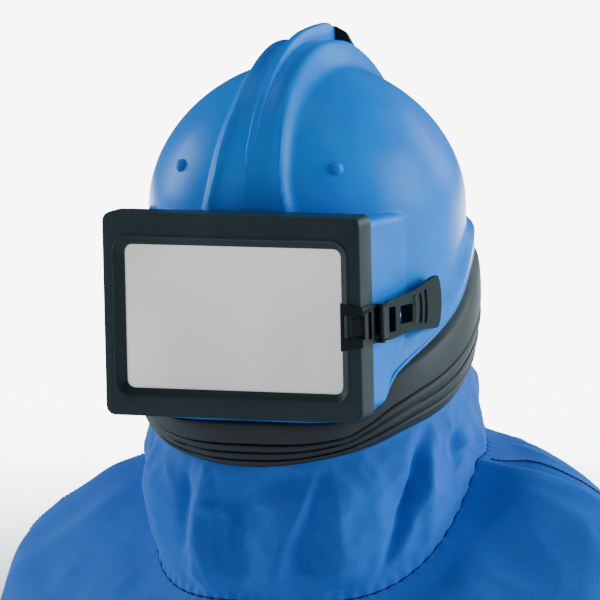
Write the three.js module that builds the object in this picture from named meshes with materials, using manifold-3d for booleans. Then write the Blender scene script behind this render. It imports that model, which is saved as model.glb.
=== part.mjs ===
// A sandblasting hood, as it is worn: a blue moulded helmet shell with a raised ridge and a window
// snout, a black window frame that swings open on a side hinge and is held by a lever latch, a ribbed
// rubber neck band, and a cloth collar sewn to a cape that lies over the shoulders.
// Millimetres, +Z up. The window looks along -Y, and +X is the wearer's left.
// The origin is where the top of the head sits, at the inside of the crown.
import * as THREE from "three";
import { mergeVertices } from "three/addons/utils/BufferGeometryUtils.js";
import Module from "manifold-3d";

const wasm = await Module();
wasm.setup();

// Clearances
const touchGap = 0.3;
const runningGap = 0.4;

// How far a cutting solid passes the surface that it cuts
const past = 1;

// Helmet shell
const shellWall = 3;
const crownRise = 114;
const crownRoundness = 1.9;
const shellHalfWidth = 122;
const shellFront = 122;
const shellBack = 150;
const shellSquareness = 2.04;
const chinSquareness = 3;
const rimDropFront = 160;
const rimDropBack = 29;
const flareOut = 5;
const flareReach = 26;
const bandInset = 7;

// Ridge over the crown: a broad panel with a narrow crest on it
const panelHeight = 15.5;
const panelHalfWidth = 23;
const crestHeight = 16.5;
const crestHalfWidth = 4.8;
const crestStart = 17;
const crestEnd = 112;
const capLength = 26;
const capHalfWidth = 19.5;
const bumpRadius = 5.2;
const bumpSide = 65;
const bumpHeight = 34;

// Window: frame, lens and the snout that carries them
const windowTilt = 3.2;
const windowForward = 153;
const windowDrop = 78;
const frameWidth = 212;
const frameHeight = 157.5;
const frameDepth = 25;
const frameCorner = 7;
const faceThickness = 10;
const lensOpeningWidth = 174;
const lensOpeningHeight = 111;
const lensCorner = 6;
const bevelWidth = 6.2;
const bevelDepth = 5;
const lensThickness = 3;
const lensLap = 4;
const sideWall = 3.8;
const snoutClearance = 2.2;
const snoutFlare = 10.5;
const snoutReach = 122;
const snoutSetBack = 1;
const snoutCorner = 5;
const portMargin = 2;
const frameEdge = 1.5;

// Hinge of the window frame, on the wearer's right
const hingeOut = 5;
const hingeBehind = 3;
const pinRadius = 2;
const eyeRadius = 4.5;
const knuckleHeight = 27;
const earHeight = 9;
const bracketLength = 26;

// Latch on the wearer's left
const clipFaceWidth = 16;
const clipHeight = 30;
const clipFlare = 3.5;
const clipWall = 2;
const leverLength = 90;
const leverThickness = 3.5;
const leverWaist = 30;
const leverPad = 40;
const leverClearance = 7.6;
const leverRise = 4.5;
const latchDrop = 5;
const leverPivotOut = 5;
const leverPivotBehind = 5;
const leverEyeRadius = 3;
const latchPinRadius = 1.2;
const lugHeight = 2.2;
const keeperRadius = 2.6;
const keeperBite = 0.9;

// Neck band
const bandBulge = 15;
const bandWall = 4;
const bandDropFront = 199;
const bandDropBack = 95;
const bandTrim = 1.5;
const grooveDepth = 2.2;

// Collar and cape
const clothThickness = 2;
const torsoShift = 28;
const torsoSide = 4;
const collarHalfWidth = 130;
const collarFront = 137;
const collarBack = 126;
const seamDropFront = 301;
const seamDropSide = 198;
const seamDropBack = 160;
const hemHalfWidth = 300;
const hemFront = 176;
const hemBack = 176;
const hemDrop = 575;
const hemFlute = 13;
const fluteCount = 13;
const collarTuck = 6;
const foldDepth = 9;
const shoulderLean = 11;
const seamGap = 0.4;

// Number of facets
const columns = 42;
const shellSegments = 14;
const insideSegments = 12;
const rimSegments = 44;

const equator = shellWall - crownRise;
const radians = THREE.MathUtils.degToRad;
const { clamp, smoothstep, lerp } = THREE.MathUtils;

// Turns a closed geometry into a solid that can be cut and joined.
function solidOf(geometry) {
  const bare = geometry.clone();
  bare.deleteAttribute("normal");
  bare.deleteAttribute("uv");
  const merged = mergeVertices(bare, 1e-4);
  return new wasm.Manifold(
    new wasm.Mesh({
      numProp: 3,
      vertProperties: merged.attributes.position.array,
      triVerts: new Uint32Array(merged.index.array),
    }),
  );
}

function geometryOf(solid) {
  const mesh = solid.getMesh();
  const geometry = new THREE.BufferGeometry();
  geometry.setAttribute("position", new THREE.BufferAttribute(mesh.vertProperties, 3));
  geometry.setIndex(new THREE.BufferAttribute(mesh.triVerts, 1));
  geometry.computeVertexNormals();
  return geometry;
}

function joined(solids) {
  return solids.reduce((whole, piece) => whole.add(piece));
}

// A value read from a table of [place, value] pairs with a smooth curve through them.
function curveThrough(rows) {
  return (place) => {
    const last = rows.length - 1;
    if (place <= rows[0][0]) return rows[0][1];
    if (place >= rows[last][0]) return rows[last][1];
    const i = rows.findIndex((row) => row[0] > place) - 1;
    const slopeAt = (k) => {
      if (k === 0 || k === last) return 0;
      return (rows[k + 1][1] - rows[k - 1][1]) / (rows[k + 1][0] - rows[k - 1][0]);
    };
    const span = rows[i + 1][0] - rows[i][0];
    const u = (place - rows[i][0]) / span;
    const rise = rows[i + 1][1] - rows[i][1];
    const a = slopeAt(i) * span - rise;
    const b = rise - slopeAt(i + 1) * span;
    return rows[i][1] + u * rise + u * (1 - u) * ((1 - u) * a + u * b);
  };
}

// A surface of closed rings, each the same number of points, joined last to first: a hollow sleeve.
function sleeve(rings) {
  const count = rings[0].length;
  const positions = rings.flatMap((ring) => ring.flatMap((p) => [p.x, p.y, p.z]));
  const faces = [];
  rings.forEach((ring, r) => {
    const next = (r + 1) % rings.length;
    for (let c = 0; c < count; c++) {
      const d = (c + 1) % count;
      faces.push(r * count + c, next * count + c, r * count + d);
      faces.push(r * count + d, next * count + c, next * count + d);
    }
  });
  const geometry = new THREE.BufferGeometry();
  geometry.setAttribute("position", new THREE.Float32BufferAttribute(positions, 3));
  geometry.setIndex(faces);
  return geometry;
}

// A solid between closed rings with a flat cap on each end.
function capped(rings) {
  const count = rings[0].length;
  const positions = rings.flatMap((ring) => ring.flatMap((p) => [p.x, p.y, p.z]));
  const faces = [];
  for (let r = 0; r + 1 < rings.length; r++) {
    for (let c = 0; c < count; c++) {
      const d = (c + 1) % count;
      faces.push(r * count + c, (r + 1) * count + c, r * count + d);
      faces.push(r * count + d, (r + 1) * count + c, (r + 1) * count + d);
    }
  }
  const end = (rings.length - 1) * count;
  for (let c = 1; c + 1 < count; c++) {
    faces.push(0, c, c + 1);
    faces.push(end, end + c + 1, end + c);
  }
  const geometry = new THREE.BufferGeometry();
  geometry.setAttribute("position", new THREE.Float32BufferAttribute(positions, 3));
  geometry.setIndex(faces);
  return geometry;
}

// The shell's outline seen from above, at an angle round the head: 0 is the wearer's left, 90 the back.
function planPoint(angle, halfWidth, front, back, squareness) {
  const c = Math.cos(angle);
  const s = Math.sin(angle);
  const power = 2 / squareness;
  const reach = s < 0 ? front : back;
  return new THREE.Vector2(
    Math.sign(c) * halfWidth * Math.abs(c) ** power,
    Math.sign(s) * reach * Math.abs(s) ** power,
  );
}

// The height of the shell's rim and of the band's lower edge, along the head from front to back.
// Columns: share of the way from front to back, share of the drop between back and front.
const rimTable = [
  [0, 1],
  [0.07, 0.97],
  [0.11, 0.86],
  [0.16, 0.72],
  [0.32, 0.52],
  [0.475, 0.33],
  [0.58, 0.16],
  [0.65, 0.08],
  [0.73, 0.03],
  [0.85, 0],
];
const bandTable = [
  [0, 1],
  [0.06, 0.925],
  [0.15, 0.817],
  [0.23, 0.71],
  [0.37, 0.587],
  [0.54, 0.43],
  [0.72, 0.28],
  [0.86, 0.1],
  [1, 0],
];
const alongHead = (y) => (y + shellFront) / (shellFront + shellBack);
const rimShare = curveThrough(rimTable);
const bandShare = curveThrough(bandTable);
const rimHeight = (y) => equator - lerp(rimDropBack, rimDropFront, rimShare(alongHead(y)));
const bandHeight = (y) => equator - lerp(bandDropBack, bandDropFront, bandShare(alongHead(y)));

// The ridge, along the crown from the brow to the nape.
// Columns: degrees over the crown from the front, share of the panel's height or width.
const panelHeightAt = curveThrough([
  [-10, 0],
  [2, 0.26],
  [30, 0.4],
  [60, 0.66],
  [95, 0.96],
  [112, 1],
  [140, 0.75],
  [165, 0.35],
  [180, 0],
]);
const panelWidthAt = curveThrough([
  [-5, 1.45],
  [12, 1.18],
  [30, 0.98],
  [50, 0.82],
  [80, 0.82],
  [112, 0.92],
  [150, 1.2],
  [190, 1.3],
]);
const overCrown = (d) => THREE.MathUtils.radToDeg(Math.atan2(d.z, -d.y));

function panelLift(d, x) {
  const at = overCrown(d) < -90 ? overCrown(d) + 360 : overCrown(d);
  const height = panelHeight * panelHeightAt(at);
  const flank = 1.1 * height + 3;
  const edge = panelHalfWidth * panelWidthAt(at);
  return height * (1 - smoothstep(Math.abs(x), edge - 2, edge + flank));
}

// How far the dome reaches from its middle in a direction, without the ridge.
function domeReach(d) {
  const level = Math.hypot(d.x, d.y);
  const steep = -d.z / Math.max(level, 1e-6);
  const squareness = d.y < 0
    ? lerp(shellSquareness, chinSquareness, smoothstep(steep, 0.75, 1.2))
    : shellSquareness;
  const along = d.y < 0 ? shellFront : shellBack;
  const across = (Math.abs(d.x) / shellHalfWidth) ** squareness;
  const plan = (across + (Math.abs(d.y) / along) ** squareness) ** (1 / squareness);
  const floor = Math.max(-d.z, 0) / (2 * rimDropFront);
  const high = Math.max(d.z, 0) / crownRise;
  const whole = (plan ** crownRoundness + high ** crownRoundness) ** (1 / crownRoundness);
  return Math.min(1 / whole, 1 / floor);
}

// The shell flares outwards over the last stretch above its rim.
function flareAt(d, reach) {
  const above = equator + reach * d.z - rimHeight(reach * d.y);
  const near = 1 - clamp(above / flareReach, 0, 1);
  const forward = -d.y / Math.max(Math.hypot(d.x, d.y), 1e-6);
  const aside = 1 - smoothstep(forward, 0.6, 0.78);
  return flareOut * near * near * aside;
}

// A closed star-shaped solid about the dome's middle, set in by a depth for the shell's inside.
function domeSolid(inset, segments = shellSegments) {
  const box = new THREE.BoxGeometry(2, 2, 2, segments, segments, segments);
  box.deleteAttribute("normal");
  box.deleteAttribute("uv");
  const geometry = mergeVertices(box, 1e-4);
  const points = geometry.attributes.position;
  const d = new THREE.Vector3();
  const spread = (u, gather) => Math.tan((Math.sign(u) * Math.abs(u) ** gather * Math.PI) / 4);
  const gatherAtRidge = 1.25;
  for (let i = 0; i < points.count; i++) {
    d.fromBufferAttribute(points, i);
    d.set(spread(d.x, gatherAtRidge), spread(d.y, 1), spread(d.z, 1)).normalize();
    const base = domeReach(d);
    const reach = base + panelLift(d, base * d.x) + flareAt(d, base) - inset;
    points.setXYZ(i, reach * d.x, reach * d.y, reach * d.z + equator);
  }
  return solidOf(geometry);
}

// A rounded rectangle in the window's own frame, x across and z up, as a ring at a depth y.
function frameRing(width, height, corner, y) {
  const perCorner = 3;
  const ring = [];
  [[1, 1], [-1, 1], [-1, -1], [1, -1]].forEach(([sx, sz], quarter) => {
    for (let k = 0; k <= perCorner; k++) {
      const angle = ((quarter + k / perCorner) * Math.PI) / 2;
      ring.push(new THREE.Vector3(
        sx * (width / 2 - corner) + corner * Math.cos(angle),
        y,
        sz * (height / 2 - corner) + corner * Math.sin(angle),
      ));
    }
  });
  return ring;
}

// A block through the window's frame: a list of [width, height, corner, depth] from front to back.
function windowBlock(sections) {
  return solidOf(capped(sections.map((s) => frameRing(...s))));
}

// Places a solid of the window's own frame on the helmet.
const windowPlace = new THREE.Matrix4()
  .makeRotationX(radians(windowTilt))
  .setPosition(0, -windowForward, equator - windowDrop);

function inHelmet(solid, drop = 0) {
  const geometry = geometryOf(solid);
  geometry.translate(0, 0, -drop);
  geometry.applyMatrix4(windowPlace);
  return solidOf(geometry);
}

// The snout, and the same set in by the wall for its inside.
const snoutWidth = frameWidth - 2 * sideWall - 2 * snoutClearance;
const snoutHeight = frameHeight - 2 * sideWall - 2 * snoutClearance;
const snoutFace = faceThickness + snoutSetBack;
const snoutStraight = frameDepth + 2 * snoutSetBack;

function snoutSolid(inset) {
  const start = snoutFace + inset;
  const width = snoutWidth - 2 * inset;
  const height = snoutHeight - 2 * inset;
  const corner = snoutCorner - Math.min(inset, 2);
  return inHelmet(windowBlock([
    [width, height, corner, start],
    [width, height, corner, snoutStraight],
    [width + 2 * snoutFlare, height, corner, snoutReach],
  ]));
}

// Everything under the rim, or under it by a gap, as one block across the helmet.
function belowRim(gap) {
  const reach = 2 * shellBack;
  const outline = new THREE.Shape();
  outline.moveTo(-reach, -4 * shellBack);
  for (let i = 0; i <= rimSegments; i++) {
    const y = lerp(-shellFront, shellBack, i / rimSegments);
    if (i === 0) outline.lineTo(-reach, rimHeight(y) - gap);
    outline.lineTo(y, rimHeight(y) - gap);
  }
  outline.lineTo(reach, rimHeight(shellBack) - gap);
  outline.lineTo(reach, -4 * shellBack);
  const block = new THREE.ExtrudeGeometry(outline, { depth: 2 * reach, bevelEnabled: false });
  block.translate(0, 0, -reach);
  block.rotateX(Math.PI / 2);
  block.rotateZ(Math.PI / 2);
  return solidOf(block);
}

// A point of the ridge's middle line, on the panel's top.
function ridgePoint(degrees) {
  const d = new THREE.Vector3(0, -Math.cos(radians(degrees)), Math.sin(radians(degrees)));
  const reach = domeReach(d) + panelLift(d, 0);
  return new THREE.Vector3(0, reach * d.y, reach * d.z + equator);
}

// The crest's height, as a share. Columns: degrees over the crown from the front, share.
const crestHeightAt = curveThrough([
  [17, 0.03],
  [40, 0.12],
  [60, 0.27],
  [82, 0.45],
  [94, 0.59],
  [103, 0.82],
  [109, 1],
]);

// The crest: a narrow fin that rises and widens along the ridge and ends in a flat face.
function crestSolid() {
  const steps = 16;
  const sunk = 3;
  const around = 7;
  const rings = [];
  for (let i = 0; i <= steps; i++) {
    const share = i / steps;
    const degrees = lerp(crestStart, crestEnd, share);
    const base = ridgePoint(degrees);
    const ahead = ridgePoint(degrees + 1).sub(base).normalize();
    const up = new THREE.Vector3(0, -ahead.z, ahead.y);
    const half = crestHalfWidth * lerp(0.35, 1, share);
    const height = crestHeight * crestHeightAt(degrees);
    const ring = [];
    for (let k = 0; k < around; k++) {
      const angle = (Math.PI * k) / (around - 1);
      const side = half * Math.sign(Math.cos(angle)) * Math.abs(Math.cos(angle)) ** 0.8;
      const lift = height * Math.sin(angle) ** 0.7;
      ring.push(base.clone().addScaledVector(up, lift).add(new THREE.Vector3(side, 0, 0)));
    }
    ring.push(base.clone().addScaledVector(up, -sunk).add(new THREE.Vector3(-half, 0, 0)));
    ring.push(base.clone().addScaledVector(up, -sunk).add(new THREE.Vector3(half, 0, 0)));
    rings.push(ring);
  }
  return solidOf(capped(rings));
}

// Two moulded bumps on the brow.
function bumpSolids() {
  return [-1, 1].map((side) => {
    const bump = new THREE.SphereGeometry(bumpRadius, 10, 8);
    const d = new THREE.Vector3(side * bumpSide, 0, bumpHeight);
    const aside = (bumpSide / shellHalfWidth) ** shellSquareness;
    const high = (bumpHeight / crownRise) ** 2;
    const level = (Math.sqrt(1 - high) ** shellSquareness - aside) ** (1 / shellSquareness);
    d.y = -shellFront * level;
    const sunk = 0.984;
    bump.translate(d.x * sunk, d.y * sunk, d.z * sunk + equator);
    return solidOf(bump);
  });
}

function helmetShell() {
  const outside = joined([
    domeSolid(0),
    snoutSolid(0),
    crestSolid(),
    ...bumpSolids(),
  ]);
  const inside = joined([domeSolid(shellWall, insideSegments), snoutSolid(shellWall)]);
  const portWidth = lensOpeningWidth + 2 * portMargin;
  const portHeight = lensOpeningHeight + 2 * portMargin;
  const port = inHelmet(windowBlock([
    [portWidth, portHeight, lensCorner, 0],
    [portWidth, portHeight, lensCorner, frameDepth],
  ]));
  return outside.subtract(inside).subtract(port).subtract(belowRim(0));
}

// The dark block's section, looking forwards. Columns: share of the half width, share of the height.
const capSection = [
  [-1, -0.3],
  [1, -0.3],
  [1, 0.1],
  [0.66, 0.75],
  [0.22, 1],
  [-0.22, 1],
  [-0.66, 0.75],
  [-1, 0.1],
];

// The dark block that ends the crest, just behind its flat face. It slopes down to the panel behind.
function crestCap() {
  const steps = 5;
  const rings = [];
  const perMillimetre = THREE.MathUtils.radToDeg(1 / (crownRise + panelHeight));
  for (let i = 0; i <= steps; i++) {
    const share = i / steps;
    const degrees = crestEnd + perMillimetre * lerp(2.5 * touchGap, capLength, share);
    const base = ridgePoint(degrees);
    const ahead = ridgePoint(degrees + 1).sub(base).normalize();
    const up = new THREE.Vector3(0, -ahead.z, ahead.y);
    const height = crestHeight * (1 - 0.7 * share ** 2.2);
    rings.push(capSection.map(([x, z]) =>
      base.clone().addScaledVector(up, z * height).add(new THREE.Vector3(x * capHalfWidth, 0, 0))));
  }
  return solidOf(capped(rings)).subtract(domeSolid(-touchGap));
}

// A plain box in the window's own frame, from its lowest to its highest corner.
function windowBox(low, high) {
  const box = new THREE.BoxGeometry(high[0] - low[0], high[1] - low[1], high[2] - low[2]);
  box.translate((low[0] + high[0]) / 2, (low[1] + high[1]) / 2, (low[2] + high[2]) / 2);
  return solidOf(box);
}

// An upright round post in the window's own frame.
function windowPost(radius, x, y, low, high, sides = 16) {
  const post = new THREE.CylinderGeometry(radius, radius, high - low, sides);
  post.rotateX(Math.PI / 2);
  post.translate(x, y, (low + high) / 2);
  return solidOf(post);
}

const hingeX = -(frameWidth / 2 + hingeOut);
const hingeY = frameDepth + hingeBehind;

// The window frame, with its bevelled lip, the lens pocket, and the knuckle of its hinge.
function windowFrame() {
  const outer = windowBlock([
    [frameWidth - 2 * frameEdge, frameHeight - 2 * frameEdge, frameCorner - frameEdge, 0],
    [frameWidth, frameHeight, frameCorner, frameEdge],
    [frameWidth, frameHeight, frameCorner, frameDepth],
  ]);
  const lipWidth = lensOpeningWidth + 2 * bevelWidth;
  const lipHeight = lensOpeningHeight + 2 * bevelWidth;
  const lip = windowBlock([
    [lipWidth, lipHeight, lensCorner + bevelWidth, -past],
    [lipWidth, lipHeight, lensCorner + bevelWidth, 0],
    [lensOpeningWidth, lensOpeningHeight, lensCorner, bevelDepth],
    [lensOpeningWidth, lensOpeningHeight, lensCorner, faceThickness + past],
  ]);
  const pocketFront = faceThickness - lensThickness - touchGap;
  const pocketWidth = lensOpeningWidth + 2 * lensLap;
  const pocketHeight = lensOpeningHeight + 2 * lensLap;
  const pocket = windowBlock([
    [pocketWidth, pocketHeight, lensCorner, pocketFront],
    [pocketWidth, pocketHeight, lensCorner, faceThickness + past],
  ]);
  const hollow = windowBlock([
    [frameWidth - 2 * sideWall, frameHeight - 2 * sideWall, frameCorner - 2, faceThickness],
    [frameWidth - 2 * sideWall, frameHeight - 2 * sideWall, frameCorner - 2, frameDepth + past],
  ]);
  const half = knuckleHeight / 2;
  const knuckle = windowPost(eyeRadius, hingeX, hingeY, -half, half)
    .add(windowBox(
      [hingeX, frameDepth - 2 * eyeRadius, -half],
      [-frameWidth / 2 + sideWall / 2, frameDepth, half],
    ))
    .add(windowBox(
      [hingeX - 0.6 * eyeRadius, frameDepth - 2 * eyeRadius, -half],
      [hingeX + 0.6 * eyeRadius, hingeY, half],
    ))
    .subtract(windowPost(pinRadius + runningGap, hingeX, hingeY, -half - past, half + past));
  return inHelmet(outer.subtract(lip).subtract(pocket).subtract(hollow).add(knuckle));
}

function lensPane() {
  const width = lensOpeningWidth + 2 * lensLap - 2 * touchGap;
  const height = lensOpeningHeight + 2 * lensLap - 2 * touchGap;
  return inHelmet(windowBlock([
    [width, height, lensCorner, faceThickness - lensThickness],
    [width, height, lensCorner, faceThickness],
  ]));
}

// Two ears on the snout's side, above and below the frame's knuckle, on one plate.
function hingeBracket() {
  const low = knuckleHeight / 2 + runningGap;
  const high = low + earHeight;
  const plateStart = hingeY + 1.8 * eyeRadius;
  const plateEnd = plateStart + bracketLength;
  const inward = hingeX + 3 * eyeRadius;
  const ears = [[low, high], [-high, -low]].map(([bottom, top]) =>
    windowPost(eyeRadius, hingeX, hingeY, bottom, top).add(
      windowBox([hingeX - eyeRadius, hingeY, bottom], [hingeX + 0.8 * hingeOut, plateEnd, top]),
    ));
  const plate = windowBox([hingeX - eyeRadius, plateStart, -high], [inward, plateEnd, high]);
  const bore = windowPost(pinRadius + touchGap, hingeX, hingeY, -high - past, high + past);
  return inHelmet(joined([...ears, plate]).subtract(bore)).subtract(snoutSolid(-touchGap));
}

function hingePin() {
  const half = knuckleHeight / 2 + runningGap + earHeight;
  return inHelmet(windowPost(pinRadius, hingeX, hingeY, -half, half));
}

const pivotX = frameWidth / 2 + leverPivotOut;
const pivotY = frameDepth + leverPivotBehind;

// The lever splays outwards just enough for its tip to stand clear of the dome's side.
const leverTipY = pivotY + leverLength - windowForward;
const domeSide = shellHalfWidth
  * (1 - (Math.abs(leverTipY) / shellFront) ** shellSquareness) ** (1 / shellSquareness);
const leverSplay = Math.asin((domeSide + leverClearance - pivotX) / leverLength);

// The clip that grips the frame's side, with the bar that the lever turns on.
function latchClip() {
  const sideIn = frameWidth / 2 + touchGap;
  const sideEnd = sideIn + clipWall;
  const front = -touchGap - clipWall;
  const half = clipHeight / 2;
  const flared = half + clipFlare;
  const face = new THREE.Shape([
    new THREE.Vector2(frameWidth / 2 - clipFaceWidth, -flared),
    new THREE.Vector2(sideEnd, -half),
    new THREE.Vector2(sideEnd, half),
    new THREE.Vector2(frameWidth / 2 - clipFaceWidth, flared),
  ]);
  const facePlate = new THREE.ExtrudeGeometry(face, { depth: clipWall, bevelEnabled: false });
  facePlate.rotateX(Math.PI / 2);
  facePlate.translate(0, front + clipWall, 0);
  const side = windowBox([sideIn, front, -half], [sideEnd, pivotY, half]);
  const lugs = [[half - lugHeight, half], [-half, lugHeight - half]].map(([bottom, top]) =>
    windowPost(leverEyeRadius, pivotX, pivotY, bottom, top).add(
      windowBox([sideIn, pivotY - leverEyeRadius, bottom], [pivotX, pivotY + leverEyeRadius, top]),
    ));
  const swing = leverEyeRadius + 2 * runningGap;
  const room = windowPost(swing, pivotX, pivotY, lugHeight - half, half - lugHeight);
  const bar = windowPost(latchPinRadius, pivotX, pivotY, 1 - half, half - 1, 10);
  return inHelmet(joined([solidOf(facePlate), side, ...lugs]).subtract(room).add(bar), latchDrop);
}

// The lever's outline, along its length from the bar to the pad.
// Columns: share of the length, share of the way from waist height to pad height.
const leverOutline = [
  [0.05, -0.15],
  [0.1, -0.03],
  [0.2, 0.02],
  [0.3, -0.02],
  [0.42, 0],
  [0.55, 0.12],
  [0.75, 0.64],
  [0.91, 1],
];
const leverRake = Math.tan(radians(leverRise));
const leverHole = { start: 0.285, end: 0.5, half: 0.235 };
const leverSlot = { start: 0.1, end: 0.2, half: 0.32 };

// Places a solid made along +X from the lever's bar, its inner side facing +Y, on the latch.
function onLever(geometry) {
  geometry.rotateZ(Math.PI / 2 - leverSplay);
  geometry.translate(pivotX, pivotY, 0);
  return geometry;
}

function leverWindow({ start, end, half }) {
  const a = start * leverLength;
  const b = end * leverLength;
  const h = half * leverWaist;
  return new THREE.Path([
    new THREE.Vector2(a, a * leverRake - h),
    new THREE.Vector2(a, a * leverRake + h),
    new THREE.Vector2(b, b * leverRake + h),
    new THREE.Vector2(b, b * leverRake - h),
  ]);
}

function latchLever() {
  const halfAt = (share) => lerp(leverWaist, leverPad, share) / 2;
  const edge = (sign) => leverOutline.map(([share, wide]) =>
    new THREE.Vector2(share * leverLength, share * leverLength * leverRake + sign * halfAt(wide)));
  const tip = new THREE.Vector2(leverLength, leverLength * leverRake);
  const outline = new THREE.Shape([...edge(-1), tip, ...edge(1).reverse()]);
  outline.holes.push(leverWindow(leverHole), leverWindow(leverSlot));
  const plate = new THREE.ExtrudeGeometry(outline, { depth: leverThickness, bevelEnabled: false });
  plate.translate(0, 0, -leverThickness / 2);
  plate.rotateX(Math.PI / 2);
  const eyeHalf = clipHeight / 2 - lugHeight - runningGap;
  const neck = new THREE.BoxGeometry(0.09 * leverLength, 0.8 * leverThickness, 2 * eyeHalf);
  neck.translate(0.045 * leverLength, 0, 0);
  const lever = solidOf(onLever(plate))
    .add(solidOf(onLever(neck)))
    .add(windowPost(leverEyeRadius, pivotX, pivotY, -eyeHalf, eyeHalf))
    .subtract(windowPost(latchPinRadius + runningGap, pivotX, pivotY, -eyeHalf - past, eyeHalf + past));
  return inHelmet(lever, latchDrop);
}

// The stud on the shell, at the front end of the lever's square hole.
function keeperStud() {
  const along = leverHole.start * leverLength + keeperRadius + 1;
  const reach = frameWidth / 6;
  const stud = new THREE.CylinderGeometry(keeperRadius, keeperRadius, reach, 14);
  stud.translate(along, leverThickness / 2 - keeperBite + reach / 2, along * leverRake);
  return inHelmet(solidOf(onLever(stud)), latchDrop).subtract(snoutSolid(-touchGap));
}

// A closed ring of points round the head, one for each column.
function ringRound(pointAt) {
  return Array.from({ length: columns }, (_, c) => pointAt((2 * Math.PI * c) / columns));
}

// The rubber band hangs from the shell's rim, which its top edge is trimmed to.
// Columns: share of its width from the top down, share of the bulge, share of the groove's depth.
const bandOutside = [
  [0, 0.45, 0],
  [0.08, 0.7, 0],
  [0.22, 0.88, 0],
  [0.43, 1, 0],
  [0.465, 1, 1],
  [0.5, 1, 0],
  [0.6, 0.99, 0],
  [0.635, 0.98, 1],
  [0.67, 0.97, 0],
  [0.77, 0.93, 0],
  [0.805, 0.91, 1],
  [0.84, 0.89, 0],
  [1, 0.65, 0],
];
// Columns: share of the width, share of the bulge.
const bandInside = [
  [1, 0.65],
  [0.5, 1],
  [0.22, 0.88],
  [0, 0.45],
];

// The band bulges less at the chin than at the sides and back.
const bandFullness = (angle) => 1 - 0.62 * Math.max(0, -Math.sin(angle)) ** 2;

// A point at a share of the band's width, out by a share of its bulge and then by an amount.
function bandPoint(angle, share, bulge, outward) {
  const top = planPoint(angle, shellHalfWidth, shellFront, shellBack, shellSquareness);
  const bottom = planPoint(
    angle,
    shellHalfWidth - bandInset,
    shellFront - 1.5 * bandInset,
    shellBack - 0.5 * bandInset,
    shellSquareness,
  );
  const plan = top.clone().lerp(bottom, share);
  plan.addScaledVector(plan.clone().normalize(), outward + bandBulge * bulge * bandFullness(angle));
  const z = lerp(rimHeight(plan.y) + bandTrim, bandHeight(plan.y), share);
  return new THREE.Vector3(plan.x, plan.y, z);
}

function neckBand() {
  const outside = bandOutside.map(([share, bulge, groove]) =>
    ringRound((angle) => bandPoint(angle, share, bulge, -grooveDepth * groove)));
  const inside = bandInside.map(([share, bulge]) =>
    ringRound((angle) => bandPoint(angle, share, bulge, -bandWall)));
  return solidOf(sleeve([...outside, ...inside])).intersect(belowRim(touchGap));
}

// Folds in the cloth, as ridges and valleys. Columns: degrees round the neck at the fold's top and at
// its foot (0 is the wearer's left, 90 the back), degrees wide, share of the fold depth, and the shares
// of the cloth's height where it starts and ends.
const collarFolds = [
  [-52, -45, 7, 0.8, 0, 0.85],
  [-22, -44, 8, 0.85, -0.1, 0.85],
  [-37, -42, 7, -0.6, -0.1, 0.7],
  [-66, -82, 8, 0.7, 0.3, 1.2],
  [-87, -76, 8, -0.9, 0.1, 1.1],
  [-106, -104, 7, 0.6, 0.3, 1.2],
  [-117, -116, 7, -0.8, 0.3, 0.9],
  [-132, -127, 8, 0.6, -0.1, 0.6],
  [-160, -150, 8, -0.5, 0.1, 1.1],
  [8, 2, 9, 0.4, 0, 1.1],
  [38, 46, 10, 0.6, -0.1, 1],
  [66, 62, 9, -0.6, 0.2, 1.1],
  [94, 90, 10, 0.5, 0, 1],
  [124, 130, 9, -0.6, 0.2, 1.1],
  [152, 146, 10, 0.5, 0, 1],
];
const capeFolds = [
  [-50, -42, 9, 0.9, 0.05, 1.2],
  [-68, -62, 8, -0.9, 0.1, 1.2],
  [-84, -86, 9, 0.8, 0.1, 1.2],
  [-104, -108, 9, -0.8, 0, 1.2],
  [-128, -124, 9, 0.8, 0.05, 1.2],
  [-150, -146, 9, -0.7, 0, 0.5],
  [-168, -160, 9, 0.8, 0, 0.7],
  [-24, -28, 8, -0.6, 0.2, 1.2],
  [24, 30, 10, -0.7, 0.2, 1.2],
  [52, 48, 10, 0.7, 0.1, 1.2],
  [80, 84, 10, -0.8, 0.1, 1.2],
  [108, 104, 10, 0.8, 0.1, 1.2],
  [140, 136, 10, -0.7, 0.2, 1.2],
];

function foldLift(rows, angle, share) {
  const degrees = THREE.MathUtils.radToDeg(angle);
  return rows.reduce((lift, [top, foot, width, depth, start, end]) => {
    const away = THREE.MathUtils.euclideanModulo(degrees - lerp(top, foot, share) + 180, 360) - 180;
    const along = clamp((share - start) / (end - start), 0, 1);
    return lift + foldDepth * depth * Math.exp(-((away / width) ** 2)) * Math.sin(Math.PI * along) ** 0.7;
  }, 0);
}

// How much a fold shows: nothing where the cloth is sewn or held.
const loose = (share) => smoothstep(share, 0.02, 0.3) * (1 - smoothstep(share, 0.8, 0.99));

// The neckline seam's height: low at the chest and high at the nape.
function seamHeight(angle) {
  const toFront = Math.sin((Math.PI / 2) * Math.max(0, -Math.sin(angle)));
  const toBack = Math.max(0, Math.sin(angle)) ** 1.6;
  const drop = seamDropSide
    + (seamDropFront - seamDropSide) * toFront
    + (seamDropBack - seamDropSide) * toBack;
  return equator - drop;
}

function necklinePoint(angle, outward) {
  const plan = planPoint(angle, collarHalfWidth, collarFront, collarBack, 2);
  plan.addScaledVector(plan.clone().normalize(), outward);
  return new THREE.Vector3(plan.x + torsoSide, plan.y + torsoShift, seamHeight(angle));
}

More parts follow.
